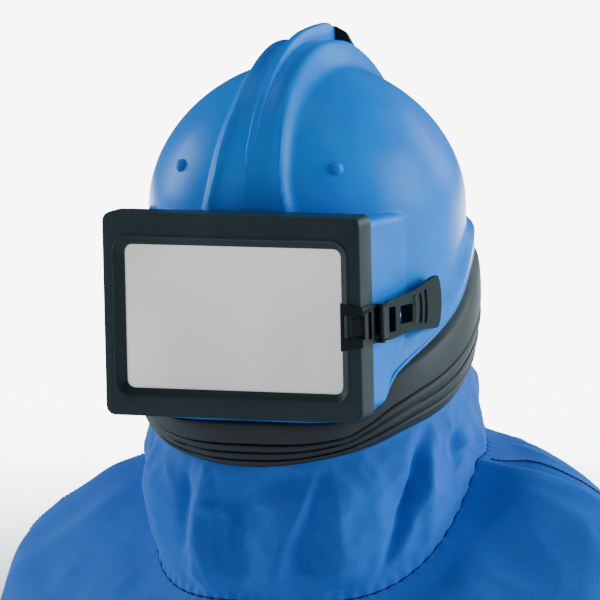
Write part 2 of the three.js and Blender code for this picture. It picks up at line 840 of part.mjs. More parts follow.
// The collar: from the band's lower edge to the neckline seam. A share below 0 is its top edge, which is
// tucked up inside the band.
function collarPoint(angle, share, outward) {
  const lowest = bandInside[0][1];
  const inset = outward - bandWall - touchGap - clothThickness;
  const held = bandPoint(angle, 1, lowest, inset);
  if (share < 0) {
    const tuck = collarTuck / (rimHeight(held.y) - bandHeight(held.y));
    return bandPoint(angle, 1 - tuck, lowest, inset);
  }
  const foot = necklinePoint(angle, outward - clothThickness);
  const point = new THREE.Vector3(
    lerp(held.x, foot.x, share),
    lerp(held.y, foot.y, share),
    lerp(held.z - seamGap, foot.z + seamGap, share),
  );
  const away = new THREE.Vector3(foot.x - torsoSide, foot.y - torsoShift, 0).normalize();
  return point.addScaledVector(away, loose(share) * foldLift(collarFolds, angle, share));
}

const collarRows = [-1, 0, 0.12, 0.26, 0.42, 0.58, 0.74, 0.88, 1];

function clothSleeve(rows, pointAt) {
  const outside = rows.map((share) => ringRound((angle) => pointAt(angle, share, clothThickness)));
  const inside = [...rows].reverse().map((share) => ringRound((angle) => pointAt(angle, share, 0)));
  return solidOf(sleeve([...outside, ...inside]));
}

// The cape's fall from the neckline to the hem. Columns: share of its length, then the share of the way
// out and the share of the way down, at the shoulder, at the chest and at the back.
const capeTable = [
  [0, 0, 0, 0, 0, 0, 0],
  [0.06, 0.12, 0.012, 0.08, 0.06, 0.1, 0.03],
  [0.15, 0.31, 0.03, 0.24, 0.14, 0.3, 0.09],
  [0.26, 0.54, 0.09, 0.42, 0.25, 0.55, 0.19],
  [0.38, 0.73, 0.17, 0.58, 0.38, 0.76, 0.34],
  [0.5, 0.83, 0.32, 0.7, 0.51, 0.88, 0.49],
  [0.63, 0.88, 0.49, 0.8, 0.64, 0.94, 0.63],
  [0.76, 0.93, 0.67, 0.88, 0.77, 0.97, 0.77],
  [0.88, 0.97, 0.84, 0.94, 0.89, 0.99, 0.89],
  [1, 1, 1, 1, 1, 1, 1],
];
const capeColumn = (column) => curveThrough(capeTable.map((row) => [row[0], row[column]]));
const [sideOut, sideDown, chestOut, chestDown, backOut, backDown] = [1, 2, 3, 4, 5, 6].map(capeColumn);
const clothFalls = (share) => smoothstep(share, 0.25, 1);

function capePoint(angle, share, outward) {
  const sine = Math.sin(angle);
  const onShoulder = Math.abs(Math.cos(angle)) ** 2;
  const [out, down] = sine < 0 ? [chestOut, chestDown] : [backOut, backDown];
  const plan = planPoint(
    angle,
    lerp(collarHalfWidth, hemHalfWidth, sideOut(share)),
    lerp(collarFront, hemFront, out(share)),
    lerp(collarBack, hemBack, out(share)),
    2 + 0.3 * clothFalls(share),
  );
  const seam = seamHeight(angle) - seamGap;
  const fall = lerp(down(share), sideDown(share), onShoulder);
  const raised = smoothstep(share, 0.04, 0.3) * (1 - smoothstep(share, 0.45, 1));
  const lean = shoulderLean * Math.cos(angle) * raised;
  const z = lerp(seam, equator - hemDrop, fall) + lean;
  const fold = smoothstep(share, 0, 0.2) * foldLift(capeFolds, angle, share);
  const flute = hemFlute * clothFalls(share) * Math.cos(fluteCount * angle + 2 * share);
  const steep = smoothstep(share, 0, 0.5);
  const away = new THREE.Vector3(plan.x, plan.y, 0).normalize();
  const lift = new THREE.Vector3(away.x * steep, away.y * steep, 1 - steep).normalize();
  return new THREE.Vector3(plan.x + torsoSide, plan.y + torsoShift, z)
    .addScaledVector(lift, outward - clothThickness)
    .addScaledVector(away, 0.5 * fold + flute);
}

const capeRows = [0, 0.05, 0.11, 0.18, 0.26, 0.34, 0.43, 0.53, 0.64, 0.76, 0.88, 1];

// Finishes, one for each kind of material.
const finish = (color, roughness, metalness = 0) =>
  new THREE.MeshStandardMaterial({ color, roughness, metalness });
const blueMoulding = finish(0x2f86d6, 0.38);
const blackMoulding = finish(0x1c1f22, 0.5);
const frameMoulding = finish(0x2a3a40, 0.55);
const rubber = finish(0x33383c, 0.7);
const pane = finish(0xd3d4d6, 0.15);
const steel = finish(0xb9bcc0, 0.3, 1);
const cloth = finish(0x2464b8, 0.9);

const hood = new THREE.Group();

function addPiece(name, solid, material) {
  const piece = new THREE.Mesh(geometryOf(solid), material);
  piece.name = name;
  hood.add(piece);
}

addPiece("helmet_shell", helmetShell(), blueMoulding);
addPiece("crest_cap", crestCap(), blackMoulding);
addPiece("window_frame", windowFrame(), frameMoulding);
addPiece("lens", lensPane(), pane);
addPiece("hinge_bracket", hingeBracket(), blackMoulding);
addPiece("hinge_pin", hingePin(), steel);
addPiece("latch_clip", latchClip(), blackMoulding);
addPiece("latch_lever", latchLever(), blackMoulding);
addPiece("keeper_stud", keeperStud(), steel);
addPiece("neck_band", neckBand(), rubber);
addPiece("collar", clothSleeve(collarRows, collarPoint), cloth);
addPiece("cape", clothSleeve(capeRows, capePoint), cloth);

export default hood;
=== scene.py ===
import math
import bpy
from mathutils import Matrix, Vector, noise


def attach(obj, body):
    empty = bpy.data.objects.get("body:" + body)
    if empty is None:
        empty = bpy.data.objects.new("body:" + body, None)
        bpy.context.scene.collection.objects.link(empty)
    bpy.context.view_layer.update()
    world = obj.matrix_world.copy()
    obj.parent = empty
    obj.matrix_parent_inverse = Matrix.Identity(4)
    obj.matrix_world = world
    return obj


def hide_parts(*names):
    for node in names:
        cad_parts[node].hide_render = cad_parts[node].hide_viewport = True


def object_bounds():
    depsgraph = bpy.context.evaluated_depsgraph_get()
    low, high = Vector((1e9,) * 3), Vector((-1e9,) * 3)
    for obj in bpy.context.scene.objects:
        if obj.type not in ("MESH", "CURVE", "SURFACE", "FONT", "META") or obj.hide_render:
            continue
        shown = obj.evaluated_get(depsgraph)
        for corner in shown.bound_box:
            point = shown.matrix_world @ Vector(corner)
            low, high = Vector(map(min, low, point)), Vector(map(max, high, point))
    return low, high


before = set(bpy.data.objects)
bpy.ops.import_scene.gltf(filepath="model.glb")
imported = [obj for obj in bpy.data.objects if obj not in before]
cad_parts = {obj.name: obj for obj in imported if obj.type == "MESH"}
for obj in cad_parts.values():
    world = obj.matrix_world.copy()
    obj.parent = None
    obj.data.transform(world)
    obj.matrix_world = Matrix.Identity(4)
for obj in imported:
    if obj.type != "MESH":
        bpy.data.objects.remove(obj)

cad_low, cad_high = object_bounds()

# Camera
# A long lens at the height of the visor, a little to the wearer's left of the window.

aim_azimuth = math.radians(21.6)
aim_elevation = math.radians(4.26)
away = Vector((
    math.sin(aim_azimuth) * math.cos(aim_elevation),
    -math.cos(aim_azimuth) * math.cos(aim_elevation),
    math.sin(aim_elevation),
))
rightward = Vector((math.cos(aim_azimuth), math.sin(aim_azimuth), 0))
upward = away.cross(rightward)
camera_distance = 5
aim_left = 0.0039
aim_down = 0.0752
aim = Vector((0, 0, -0.111)) - aim_left * rightward - aim_down * upward
bpy.ops.object.camera_add(location=aim + camera_distance * away)
camera = bpy.context.object
camera.rotation_mode = "QUATERNION"
camera.rotation_quaternion = (-away).to_track_quat("-Z", "Y")
camera.data.lens = 383
camera.data.clip_start = 0.05
camera.data.clip_end = 50
bpy.context.scene.camera = camera

# Helmet shell
# One blue moulding, about 3 mm thick: a dome with a raised panel over the crown, a narrow crest on
# the panel, two small bumps on the brow and a box-shaped snout that carries the window. It is
# modelled in millimetres about the middle of the dome, which is 111 mm under the origin.

crown_rise = 114
wall = 3
equator = wall - crown_rise
half_width = 122
front = 122
back = 150
rim_drop_front = 160
rim_drop_back = 29
roundness = 2.04
panel_rise = 15.5
dome_middle = Vector((0, 0, equator))


def curve_through(rows):
    """A smooth curve through [place, value] rows, level at both ends."""
    def value(place):
        last = len(rows) - 1
        if place <= rows[0][0]:
            return rows[0][1]
        if place >= rows[last][0]:
            return rows[last][1]
        i = next(k for k in range(last) if rows[k + 1][0] > place)

        def slope(k):
            if k in (0, last):
                return 0
            return (rows[k + 1][1] - rows[k - 1][1]) / (rows[k + 1][0] - rows[k - 1][0])

        span = rows[i + 1][0] - rows[i][0]
        u = (place - rows[i][0]) / span
        rise = rows[i + 1][1] - rows[i][1]
        a = slope(i) * span - rise
        b = rise - slope(i + 1) * span
        return rows[i][1] + u * rise + u * (1 - u) * ((1 - u) * a + u * b)
    return value


def clamp(value, low=0.0, high=1.0):
    return max(low, min(high, value))


def smooth(value, low, high):
    """0 below low, 1 above high, and a soft step between them."""
    u = clamp((value - low) / (high - low))
    return u * u * (3 - 2 * u)


def mix(a, b, share):
    return a + (b - a) * share


rim_share = curve_through([
    [0, 1], [0.07, 0.97], [0.11, 0.86], [0.16, 0.72], [0.32, 0.52], [0.475, 0.33],
    [0.58, 0.16], [0.65, 0.08], [0.73, 0.03], [0.85, 0],
])


def rim_height(y):
    return equator - mix(rim_drop_back, rim_drop_front, rim_share((y + front) / (front + back)))


panel_height_at = curve_through([
    [-10, 0], [2, 0.26], [30, 0.4], [60, 0.66], [95, 0.96], [112, 1], [140, 0.75], [165, 0.35],
    [180, 0],
])
panel_width_at = curve_through([
    [-5, 1.45], [12, 1.18], [30, 0.98], [50, 0.82], [80, 0.82], [112, 0.92], [150, 1.2], [190, 1.3],
])


def panel_lift(d, x):
    """The raised panel: a rounded bead along each edge and a shallow hollow beside the crest."""
    over = math.degrees(math.atan2(d.z, -d.y))
    if over < -90:
        over += 360
    share = panel_height_at(over)
    height = panel_rise * share
    edge = 23 * panel_width_at(over)
    lift = height * (1 - smooth(abs(x), edge - 2, edge + 1.1 * height + 3))
    bead = 2 * math.exp(-((abs(x) - edge + 1) / 4.2) ** 2)
    hollow = 0.5 * math.exp(-((abs(x) - 0.5 * edge) / 7) ** 2)
    return lift + min(1, 3 * share) * (bead - hollow)


def dome_reach(d):
    """How far the dome goes from its middle in a direction, without the panel."""
    level = math.hypot(d.x, d.y)
    steep = -d.z / max(level, 1e-6)
    squareness = mix(roundness, 3, smooth(steep, 0.75, 1.2)) if d.y < 0 else roundness
    along = front if d.y < 0 else back
    across = (abs(d.x) / half_width) ** squareness
    plan = (across + (abs(d.y) / along) ** squareness) ** (1 / squareness)
    high = max(d.z, 0) / crown_rise
    whole = (plan ** 1.9 + high ** 1.9) ** (1 / 1.9)
    return 1 / max(whole, max(-d.z, 0) / (2 * rim_drop_front))


def rim_flare(d, reach):
    """The shell turns outwards a little above its rim, and then drops in a lip that leans in."""
    above = equator + reach * d.z - rim_height(reach * d.y)
    near = 1 - clamp(above / 30)
    forward = -d.y / max(math.hypot(d.x, d.y), 1e-6)
    lip = 6.6 * smooth(near, 0.3, 0.48) - 2.2 * clamp(2 * near - 1)
    return (2.2 * near * near + lip) * (1 - smooth(forward, 0.6, 0.78))


def only(chosen):
    """Selects one object, or several with the first of them active, and nothing else."""
    bpy.ops.object.select_all(action="DESELECT")
    several = chosen if isinstance(chosen, list) else [chosen]
    for one in several:
        one.select_set(True)
    bpy.context.view_layer.objects.active = several[0]


def started(name):
    """Names the primitive that has just been added, and leaves it alone selected."""
    piece = bpy.context.object
    piece.name = name
    piece.data.name = name
    only(piece)
    return piece


def edited(piece, *steps):
    """Selects all of a piece in edit mode, and runs steps on it: an operator's name and settings."""
    only(piece)
    bpy.ops.object.mode_set(mode="EDIT")
    bpy.ops.mesh.select_mode(type="FACE")
    bpy.ops.mesh.select_all(action="SELECT")
    for operator, settings in steps:
        getattr(bpy.ops.mesh, operator)(**settings)
    bpy.ops.object.mode_set(mode="OBJECT")


def moved(piece, place):
    """Puts every vertex where place(its position) says."""
    for vertex in piece.data.vertices:
        vertex.co = place(vertex.co.copy())
    piece.data.update()


def modified(piece, kind, **settings):
    """Adds a modifier with its settings and applies it."""
    only(piece)
    modifier = piece.modifiers.new(kind.lower(), kind)
    for key, value in settings.items():
        setattr(modifier, key, value)
    bpy.ops.object.modifier_apply(modifier=modifier.name)


def softened(piece, width, segments, angle=50):
    """Rounds the edges where faces meet at more than an angle."""
    modified(
        piece, "BEVEL", width=width, segments=segments, limit_method="ANGLE",
        angle_limit=math.radians(angle),
    )


def combined(piece, tool, operation):
    """Cuts a tool from a piece or joins it on, and removes the tool."""
    modified(piece, "BOOLEAN", object=tool, operation=operation, solver="EXACT")
    bpy.data.objects.remove(tool)


def cut(piece, tool):
    combined(piece, tool, "DIFFERENCE")


def joined(piece, tool):
    combined(piece, tool, "UNION")


def dome(name, cuts, inset):
    """A cube, subdivided and blown out to the dome's form, less a depth for the inside."""
    bpy.ops.mesh.primitive_cube_add(size=2)
    piece = started(name)
    edited(piece, ("subdivide", dict(number_cuts=cuts)))

    def spread(u, gather):
        return math.tan(math.copysign(abs(u) ** gather, u) * math.pi / 4)

    def blown(p):
        d = Vector((spread(p.x, 1.25), spread(p.y, 1), spread(p.z, 1))).normalized()
        base = dome_reach(d)
        reach = base + panel_lift(d, base * d.x) + rim_flare(d, base) - inset
        return reach * d + dome_middle

    moved(piece, blown)
    return piece


faces_out = ("normals_make_consistent", dict(inside=False))


def wrapped(name, around, along, place, closed=False):
    """A grid wrapped round the object: place(share round, share along) gives each of its points."""
    bpy.ops.mesh.primitive_grid_add(x_subdivisions=around, y_subdivisions=along, size=1)
    piece = started(name)
    moved(piece, lambda p: place(p.x + 0.5, p.y + 0.5))
    edited(piece, ("remove_doubles", dict(threshold=0.0005)))
    if closed:
        edited(piece, faces_out)
    return piece


window_tilt = math.radians(3.2)
window_reach = 153
window_drop = 78
window_middle = Matrix.Translation((0, -window_reach, equator - window_drop))
window_place = window_middle @ Matrix.Rotation(window_tilt, 4, "X")
frame_width = 212
frame_height = 157.5
frame_depth = 25
frame_wall = 3.8
snout_clearance = 2.2
snout_width = frame_width - 2 * frame_wall - 2 * snout_clearance
snout_height = frame_height - 2 * frame_wall - 2 * snout_clearance
snout_front = 11
snout_straight = 27
snout_end = 122
snout_spread = 21
port_width = 178
port_height = 115


def snout_growth(y):
    """How much wider than its front the snout is, at a depth behind the frame's face."""
    return snout_spread * clamp((y - snout_straight) / (snout_end - snout_straight))


def rounded_outline(width, height, corner, share):
    """A point at a share of the way round a rectangle with rounded corners."""
    straight_x = width - 2 * corner
    straight_z = height - 2 * corner
    arc = math.pi * corner / 2
    at = (share % 1) * (2 * straight_x + 2 * straight_z + 4 * arc)
    x, z = width / 2 - corner, height / 2
    turn = 0
    for straight in (straight_x, straight_z, straight_x, straight_z):
        step = Vector((-math.cos(turn), -math.sin(turn)))
        if at <= straight:
            return Vector((x, z)) + at * step
        at -= straight
        x, z = x + straight * step.x, z + straight * step.y
        inward = Vector((math.sin(turn), -math.cos(turn)))
        middle = Vector((x, z)) + corner * inward
        if at <= arc:
            bend = turn + at / corner
            return middle - corner * Vector((math.sin(bend), -math.cos(bend)))
        at -= arc
        turn += math.pi / 2
        x, z = middle.x - corner * math.sin(turn), middle.y + corner * math.cos(turn)
    return Vector((width / 2 - corner, height / 2))


def snout(name, around, along, inset):
    """The window's box: straight under the frame, then wider towards the dome."""
    def place(u, v):
        y = mix(snout_front + inset, snout_end, v)
        outline = rounded_outline(
            snout_width - 2 * inset + snout_growth(y),
            snout_height - 2 * inset,
            7 - min(inset, 2),
            u,
        )
        return window_place @ Vector((outline.x, y, outline.y))

    return closed_ends(wrapped(name, around, along, place))


def ridge_point(degrees):
    """A point on the panel's top, on the helmet's middle line."""
    d = Vector((0, -math.cos(math.radians(degrees)), math.sin(math.radians(degrees))))
    reach = dome_reach(d) + panel_lift(d, 0)
    return reach * d + dome_middle


crest_rise = 16.5
crest_start = 17
crest_end = 112
crest_height_at = curve_through([
    [17, 0.03], [40, 0.12], [60, 0.27], [82, 0.45], [94, 0.59], [103, 0.82], [109, 1],
])


def closed_ends(piece):
    """Closes the open ends of a tube with a face each."""
    edited(
        piece,
        ("select_all", dict(action="DESELECT")),
        ("select_mode", dict(type="VERT")),
        ("select_non_manifold", dict()),
        ("edge_face_add", dict()),
    )
    edited(piece, faces_out)
    return piece


def crest(name):
    """The fin on the panel: a hairline at the brow that rises and widens to a flat end."""
    def place(u, v):
        if v < 0.12:
            degrees = mix(1, crest_start, v / 0.12)
        else:
            degrees = mix(crest_start, crest_end, (v - 0.12) / 0.88)
        share = clamp((degrees - crest_start) / (crest_end - crest_start))
        base = ridge_point(degrees)
        ahead = (ridge_point(degrees + 1) - base).normalized()
        up = Vector((0, -ahead.z, ahead.y))
        half = mix(0.5, mix(3.1, 4.8, share), smooth(degrees, 15, 22))
        outline = rounded_outline(2, 2, mix(0.6, 0.4, share), u)
        top = crest_rise * crest_height_at(degrees)
        lift = top if outline.y > 0 else -3
        lift = mix(lift, (top - 3) / 2, 1 - abs(outline.y)) if abs(outline.y) < 1 else lift
        narrowing = 1 - 0.35 * share * clamp(outline.y)
        return base + lift * up + Vector((half * outline.x * narrowing, 0, 0))

    return closed_ends(wrapped(name, 48, 110, place))


unmoved = Matrix.Identity(4)


def block(name, low, high, place=unmoved, corner=0):
    """A block between two corners, with its four edges along y rounded."""
    bpy.ops.mesh.primitive_cube_add(size=1)
    piece = started(name)
    size = Vector(high) - Vector(low)
    middle = (Vector(high) + Vector(low)) / 2
    moved(piece, lambda p: Vector((p.x * size.x, p.y * size.y, p.z * size.z)) + middle)
    if corner:
        for part in list(piece.data.vertices) + list(piece.data.polygons):
            part.select = False
        for line in piece.data.edges:
            a, b = (piece.data.vertices[k].co for k in line.vertices)
            line.select = abs(a.x - b.x) < 1e-4 and abs(a.z - b.z) < 1e-4
        bpy.ops.object.mode_set(mode="EDIT")
        bpy.ops.mesh.select_mode(type="EDGE")
        bpy.ops.mesh.bevel(offset=corner, segments=6, affect="EDGES")
        bpy.ops.object.mode_set(mode="OBJECT")
    moved(piece, lambda p: place @ p)
    return piece


def below_rim(gap):
    """All that lies under the rim, as one block right across the helmet."""
    bpy.ops.mesh.primitive_grid_add(x_subdivisions=2, y_subdivisions=160, size=1)
    piece = started("below_rim")

    def place(p):
        y = mix(-front - 60, back + 60, p.y + 0.5)
        return Vector((800 * p.x, y, rim_height(y) - gap))

    moved(piece, place)
    fall = dict(TRANSFORM_OT_translate=dict(value=(0, 0, -600)))
    edited(piece, ("extrude_region_move", fall))
    edited(piece, faces_out)
    return piece


def finished(piece, body, material, crease=35):
    """Turns a piece from millimetres to metres, smooths its shading and fixes it to its body."""
    moved(piece, lambda p: p / 1000)
    only(piece)
    bpy.ops.object.shade_smooth_by_angle(angle=math.radians(crease))
    piece.data.materials.clear()
    piece.data.materials.append(material)
    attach(piece, body)
    return piece


def linear(code):
    """An sRGB hex colour as the linear colour that a shader takes."""
    parts = [int(code[k:k + 2], 16) / 255 for k in (0, 2, 4)]
    return [p / 12.92 if p <= 0.04045 else ((p + 0.055) / 1.055) ** 2.4 for p in parts] + [1]


def node(material, kind, settings=None, links=None, stops=(), **attributes):
    """Adds a node, or finds the material's own shader by its name. Attributes go on the node, settings
    on its inputs, links are input: (node, output), and stops are a ramp's places and sRGB colours."""
    nodes = material.node_tree.nodes
    made = nodes.get(kind) or nodes.new(kind)
    for key, value in attributes.items():
        setattr(made, key, value)
    for key, value in (settings or {}).items():
        made.inputs[key].default_value = value
    for key, (source, output) in (links or {}).items():
        material.node_tree.links.new(source.outputs[output], made.inputs[key])
    for k, (place, code) in enumerate(stops):
        elements = made.color_ramp.elements
        element = elements[k] if k < len(elements) else elements.new(place)
        element.position = place
        element.color = linear(code)
    return made


def new_material(name):
    """A material, and its texture coordinates."""
    material = bpy.data.materials.new(name)
    material.use_nodes = True
    return material, node(material, "ShaderNodeTexCoord")


def moulded(name, dark, light, roughness, grain, depth, shine=0.5):
    """Injection-moulded ABS: a faint mottle in the colour, satin gloss, and a fine spark-eroded
    grain. The real grain is about 0.2 mm, and it is drawn at the size given so that it shows."""
    material, place = new_material(name)
    mottle, scuffs, pits = (
        node(
            material, "ShaderNodeTexNoise", {"Scale": scale, "Detail": detail, "Roughness": rough},
            {"Vector": (place, "Object")},
        )
        for scale, detail, rough in ((22, 4, 0.55), (160, 3, 0.7), (1000 / grain, 2, 0.5))
    )
    colour = node(
        material, "ShaderNodeValToRGB", links={"Fac": (mottle, "Fac")},
        stops=[(0.3, dark), (0.7, light)],
    )
    gloss = node(
        material, "ShaderNodeMapRange",
        {"From Min": 0.35, "From Max": 0.7, "To Min": roughness - 0.03, "To Max": roughness + 0.04},
        {"Value": (scuffs, "Fac")},
    )
    bump = node(
        material, "ShaderNodeBump", {"Strength": 0.14, "Distance": depth},
        {"Height": (pits, "Fac")},
    )
    node(
        material, "Principled BSDF", {"IOR": 1.53, "Specular IOR Level": shine},
        {"Base Color": (colour, "Color"), "Roughness": (gloss, "Result"), "Normal": (bump, "Normal")},
    )
    return material


blue_abs = moulded("moulded_blue_abs", "0076d8", "0083e6", 0.34, 0.9, 0.0001, 0.12)

shell = dome("shell", 95, 0)
joined(shell, snout("snout_outside", 260, 40, 0))
joined(shell, crest("crest"))

# Where the snout runs into the dome, the moulding has a small fillet.
crease = shell.vertex_groups.new(name="crease")
fillet = 9
from_window = window_place.inverted()
for vertex in shell.data.vertices:
    p = vertex.co
    d = p - dome_middle
    off_dome = abs(d.length - dome_reach(d.normalized()))
    q = from_window @ p
    side = (snout_width + snout_growth(q.y)) / 2
    off_snout = max(abs(q.x) - side, abs(q.z) - snout_height / 2)
    if q.y > 14 and off_dome < fillet and abs(off_snout) < fillet and d.y < 0:
        weight = (1 - off_dome / fillet) * (1 - abs(off_snout) / fillet)
        crease.add([vertex.index], clamp(2.5 * weight), "REPLACE")
modified(shell, "SMOOTH", vertex_group="crease", factor=0.5, iterations=14)

bump_side = 65
bump_rise = 34
bump_radius = 5.4
for side in (-1, 1):
    aside = (bump_side / half_width) ** roundness
    level = (math.sqrt(1 - (bump_rise / crown_rise) ** 2) ** roundness - aside) ** (1 / roundness)
    middle = 0.984 * Vector((side * bump_side, -front * level, bump_rise)) + dome_middle
    bpy.ops.mesh.primitive_uv_sphere_add(
        segments=32, ring_count=20, radius=bump_radius, location=middle,
    )
    bump = started("bump")
    bpy.ops.object.transform_apply(location=True)
    joined(shell, bump)

cut(shell, dome("shell_inside", 39, wall))
cut(shell, snout("snout_inside", 120, 8, wall))
port = block(
    "port", (-port_width / 2, 0, -port_height / 2), (port_width / 2, frame_depth, port_height / 2),
    window_place, 6,
)
cut(shell, port)
cut(shell, below_rim(0))
finished(shell, "helmet", blue_abs, 32)
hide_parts("helmet_shell")

# Rim of the shell
# The lower edge of the moulding is rolled into a thin bead, which stiffens it and holds the band.


def rim_point(turn):
    """The point of the shell's outer face at its rim, at an angle round the head."""
    low, high = math.radians(-82), math.radians(-5)
    for _ in range(24):
        middle = (low + high) / 2
        d = Vector((
            math.cos(turn) * math.cos(middle),
            math.sin(turn) * math.cos(middle),
            math.sin(middle),
        ))
        base = dome_reach(d)
        p = (base + rim_flare(d, base)) * d + dome_middle
        if p.z > rim_height(p.y):
            high = middle
        else:
            low = middle
    return p


def bead(name, around, path, radius):
    """A round bead on a closed path, which gives each of its points and the way out of the piece."""
    rows = [path(k / around) for k in range(around)]

    def place(u, v):
        k = round(u * around) % around
        point, out = rows[k]
        ahead = (rows[(k + 1) % around][0] - rows[k - 1][0]).normalized()
        side = ahead.cross(out).normalized()
        angle = 2 * math.pi * v
        return point + radius * (math.cos(angle) * side + math.sin(angle) * side.cross(ahead))

    return wrapped(name, around, 12, place, True)


rim_radius = 1.7
rim_inset = 1.1


def rim_path(share):
    p = rim_point(2 * math.pi * share)
    out = Vector((p.x, p.y, 0)).normalized()
    return p - rim_inset * out + Vector((0, 0, rim_radius)), out


rim_bead = bead("rim_bead", 300, rim_path, rim_radius)
finished(rim_bead, "helmet", blue_abs, 60)

# Crest cap
# A black end piece behind the crest, pushed onto its end. It slopes down to the panel at the back.

black_abs = moulded("moulded_black_abs", "11191c", "192427", 0.42, 0.8, 0.0001, 0.14)
cap_half_width = 19.5
cap_section = [
    (-1, -0.3), (1, -0.3), (1, 0.1), (0.66, 0.75), (0.22, 1), (-0.22, 1), (-0.66, 0.75), (-1, 0.1),
]


def cap_point(u, v):
    """The block's section is a low roof, which gets lower towards the back."""
    degrees = crest_end + math.degrees(1 / (crown_rise + panel_rise)) * mix(0.75, 26, v)
    base = ridge_point(degrees)
    ahead = (ridge_point(degrees + 1) - base).normalized()
    up = Vector((0, -ahead.z, ahead.y))
    height = crest_rise * (1 - 0.7 * v ** 2.2)
    k = math.floor(8 * u + 1e-6) % 8
    x, z = Vector(cap_section[k]).lerp(Vector(cap_section[(k + 1) % 8]), 8 * u % 1)
    return base + Vector((cap_half_width * x, 0, 0)) + height * z * up


crest_cap = closed_ends(wrapped("crest_end", 64, 18, cap_point))
cut(crest_cap, dome("under_cap", 39, -0.3))
softened(crest_cap, 1, 3, 24)
finished(crest_cap, "helmet", black_abs, 40)
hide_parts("crest_cap")

# Window frame
# A dark moulded frame that swings sideways on the hinge. Its face is flat with softened edges, and a
# rounded lip and a slope lead in to the pane.


def loft(name, sections, around=200, place=window_place):
    """A solid through rounded rectangles, each a width, height, corner and depth, front to back."""
    last = len(sections) - 1

    def point(u, v):
        width, height, corner, depth = sections[round(v * last)]
        outline = rounded_outline(width, height, corner, u)
        return place @ Vector((outline.x, depth, outline.y))

    return closed_ends(wrapped(name, around, last, point))


def rod(name, radius, x, y, low, high, place=window_place):
    """An upright round post in the window's frame."""
    bpy.ops.mesh.primitive_cylinder_add(
        vertices=48, radius=radius, depth=high - low, location=(x, y, (low + high) / 2),
    )
    piece = started(name)
    bpy.ops.object.transform_apply(location=True)
    moved(piece, lambda p: place @ p)
    return piece


# Glass-filled nylon with a dull skin: a cool dark grey, with a slight sheen on its edges.
frame_nylon = moulded("moulded_frame_nylon", "1d292d", "243236", 0.44, 1.1, 0.00015, 0.25)
lens_width = 178
lens_height = 111
lens_place = window_place @ Matrix.Translation((-0.8, 0, -2))
lip = 6.2
visor = loft("visor_frame", [
    (frame_width - 3.2, frame_height - 3.2, 5.4, 0),
    (frame_width - 1.8, frame_height - 1.8, 6.1, 0.2),
    (frame_width - 0.6, frame_height - 0.6, 6.7, 0.8),
    (frame_width, frame_height, 7, 1.8),
    (frame_width, frame_height, 7, frame_depth - 0.6),
    (frame_width - 1, frame_height - 1, 6.5, frame_depth),
])
cut(visor, loft("lip_slope", [
    (lens_width + 2 * lip, lens_height + 2 * lip, 6 + lip, -2),
    (lens_width + 2 * lip, lens_height + 2 * lip, 6 + lip, 0.4),
    (lens_width + 2 * lip - 2, lens_height + 2 * lip - 2, 5 + lip, 1.4),
    (lens_width + 5, lens_height + 5, 8.5, 3.4),
    (lens_width + 1, lens_height + 1, 6.5, 5),
    (lens_width, lens_height, 6, 5.6),
    (lens_width, lens_height, 6, 11),
], place=lens_place))
cut(visor, loft("lens_pocket", [
    (lens_width + 8, lens_height + 8, 6, 6.7),
    (lens_width + 8, lens_height + 8, 6, 11),
], place=lens_place))
hollow_width = frame_width - 2 * frame_wall
hollow_height = frame_height - 2 * frame_wall
cut(visor, loft("frame_hollow", [
    (hollow_width, hollow_height, 5, 10),
    (hollow_width, hollow_height, 5, frame_depth + 2),
]))
latch_place = window_place @ Matrix.Translation((0, 0, -5))
for low, high in (((98.4, -1, -8.7), (108, 5, 8.7)), ((103, 9.5, -10.5), (108, 17, 10.5))):
    cut(visor, block("latch_recess", low, high, latch_place))
hinge_x = -(frame_width / 2 + 5)
hinge_y = frame_depth + 3
joined(visor, rod("knuckle", 4.5, hinge_x, hinge_y, -13.5, 13.5))
for low, high in (
    ((hinge_x, frame_depth - 9, -13.5), (2 - frame_width / 2, frame_depth, 13.5)),
    ((hinge_x - 2.7, hinge_y - 4, -13.5), (hinge_x + 2.7, hinge_y, 13.5)),
):
    joined(visor, block("knuckle_web", low, high, window_place))
cut(visor, rod("knuckle_bore", 2.4, hinge_x, hinge_y, -15, 15))
finished(visor, "window", frame_nylon, 32)
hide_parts("window_frame")


def lip_path(share):
    """The rounded lip stands a little proud of the frame's face."""
    outline = rounded_outline(lens_width + 2 * lip + 1.6, lens_height + 2 * lip + 1.6, 7 + lip, share)
    return lens_place @ Vector((outline.x, 0.3, outline.y)), window_place.to_3x3() @ Vector((0, -1, 0))


visor_lip = bead("visor_lip", 320, lip_path, 1.3)
finished(visor_lip, "window", frame_nylon, 60)

# Pane
# A bare polycarbonate pane, 3 mm thick, dropped into the frame from behind. It is pale and glossy, a
# little hazy, and it has a faint painted glow in its own colour.

pale_pane, pane_place = new_material("polycarbonate_pane")
pane_haze, pane_marks = (
    node(
        pale_pane, "ShaderNodeTexNoise", {"Scale": scale, "Detail": detail, "Roughness": rough},
        {"Vector": (pane_place, "Object")},
    )
    for scale, detail, rough in ((9, 2, 0.4), (90, 5, 0.75))
)
pane_colour_and_glow = node(
    pale_pane, "ShaderNodeValToRGB", links={"Fac": (pane_haze, "Fac")},
    stops=[(0.3, "dcd6d0"), (0.7, "f6efe8")],
)
pane_gloss = node(
    pale_pane, "ShaderNodeMapRange",
    {"From Min": 0.4, "From Max": 0.75, "To Min": 0.07, "To Max": 0.2},
    {"Value": (pane_marks, "Fac")},
)
# Painted glow: the emission gives the pane a faint light of its own colour, which no lamp casts.
node(
    pale_pane, "Principled BSDF",
    {"IOR": 1.585, "Coat Weight": 0.4, "Coat Roughness": 0.05, "Emission Strength": 0.46},
    {
        "Base Color": (pane_colour_and_glow, "Color"),
        "Roughness": (pane_gloss, "Result"),
        "Emission Color": (pane_colour_and_glow, "Color"),
    },
)

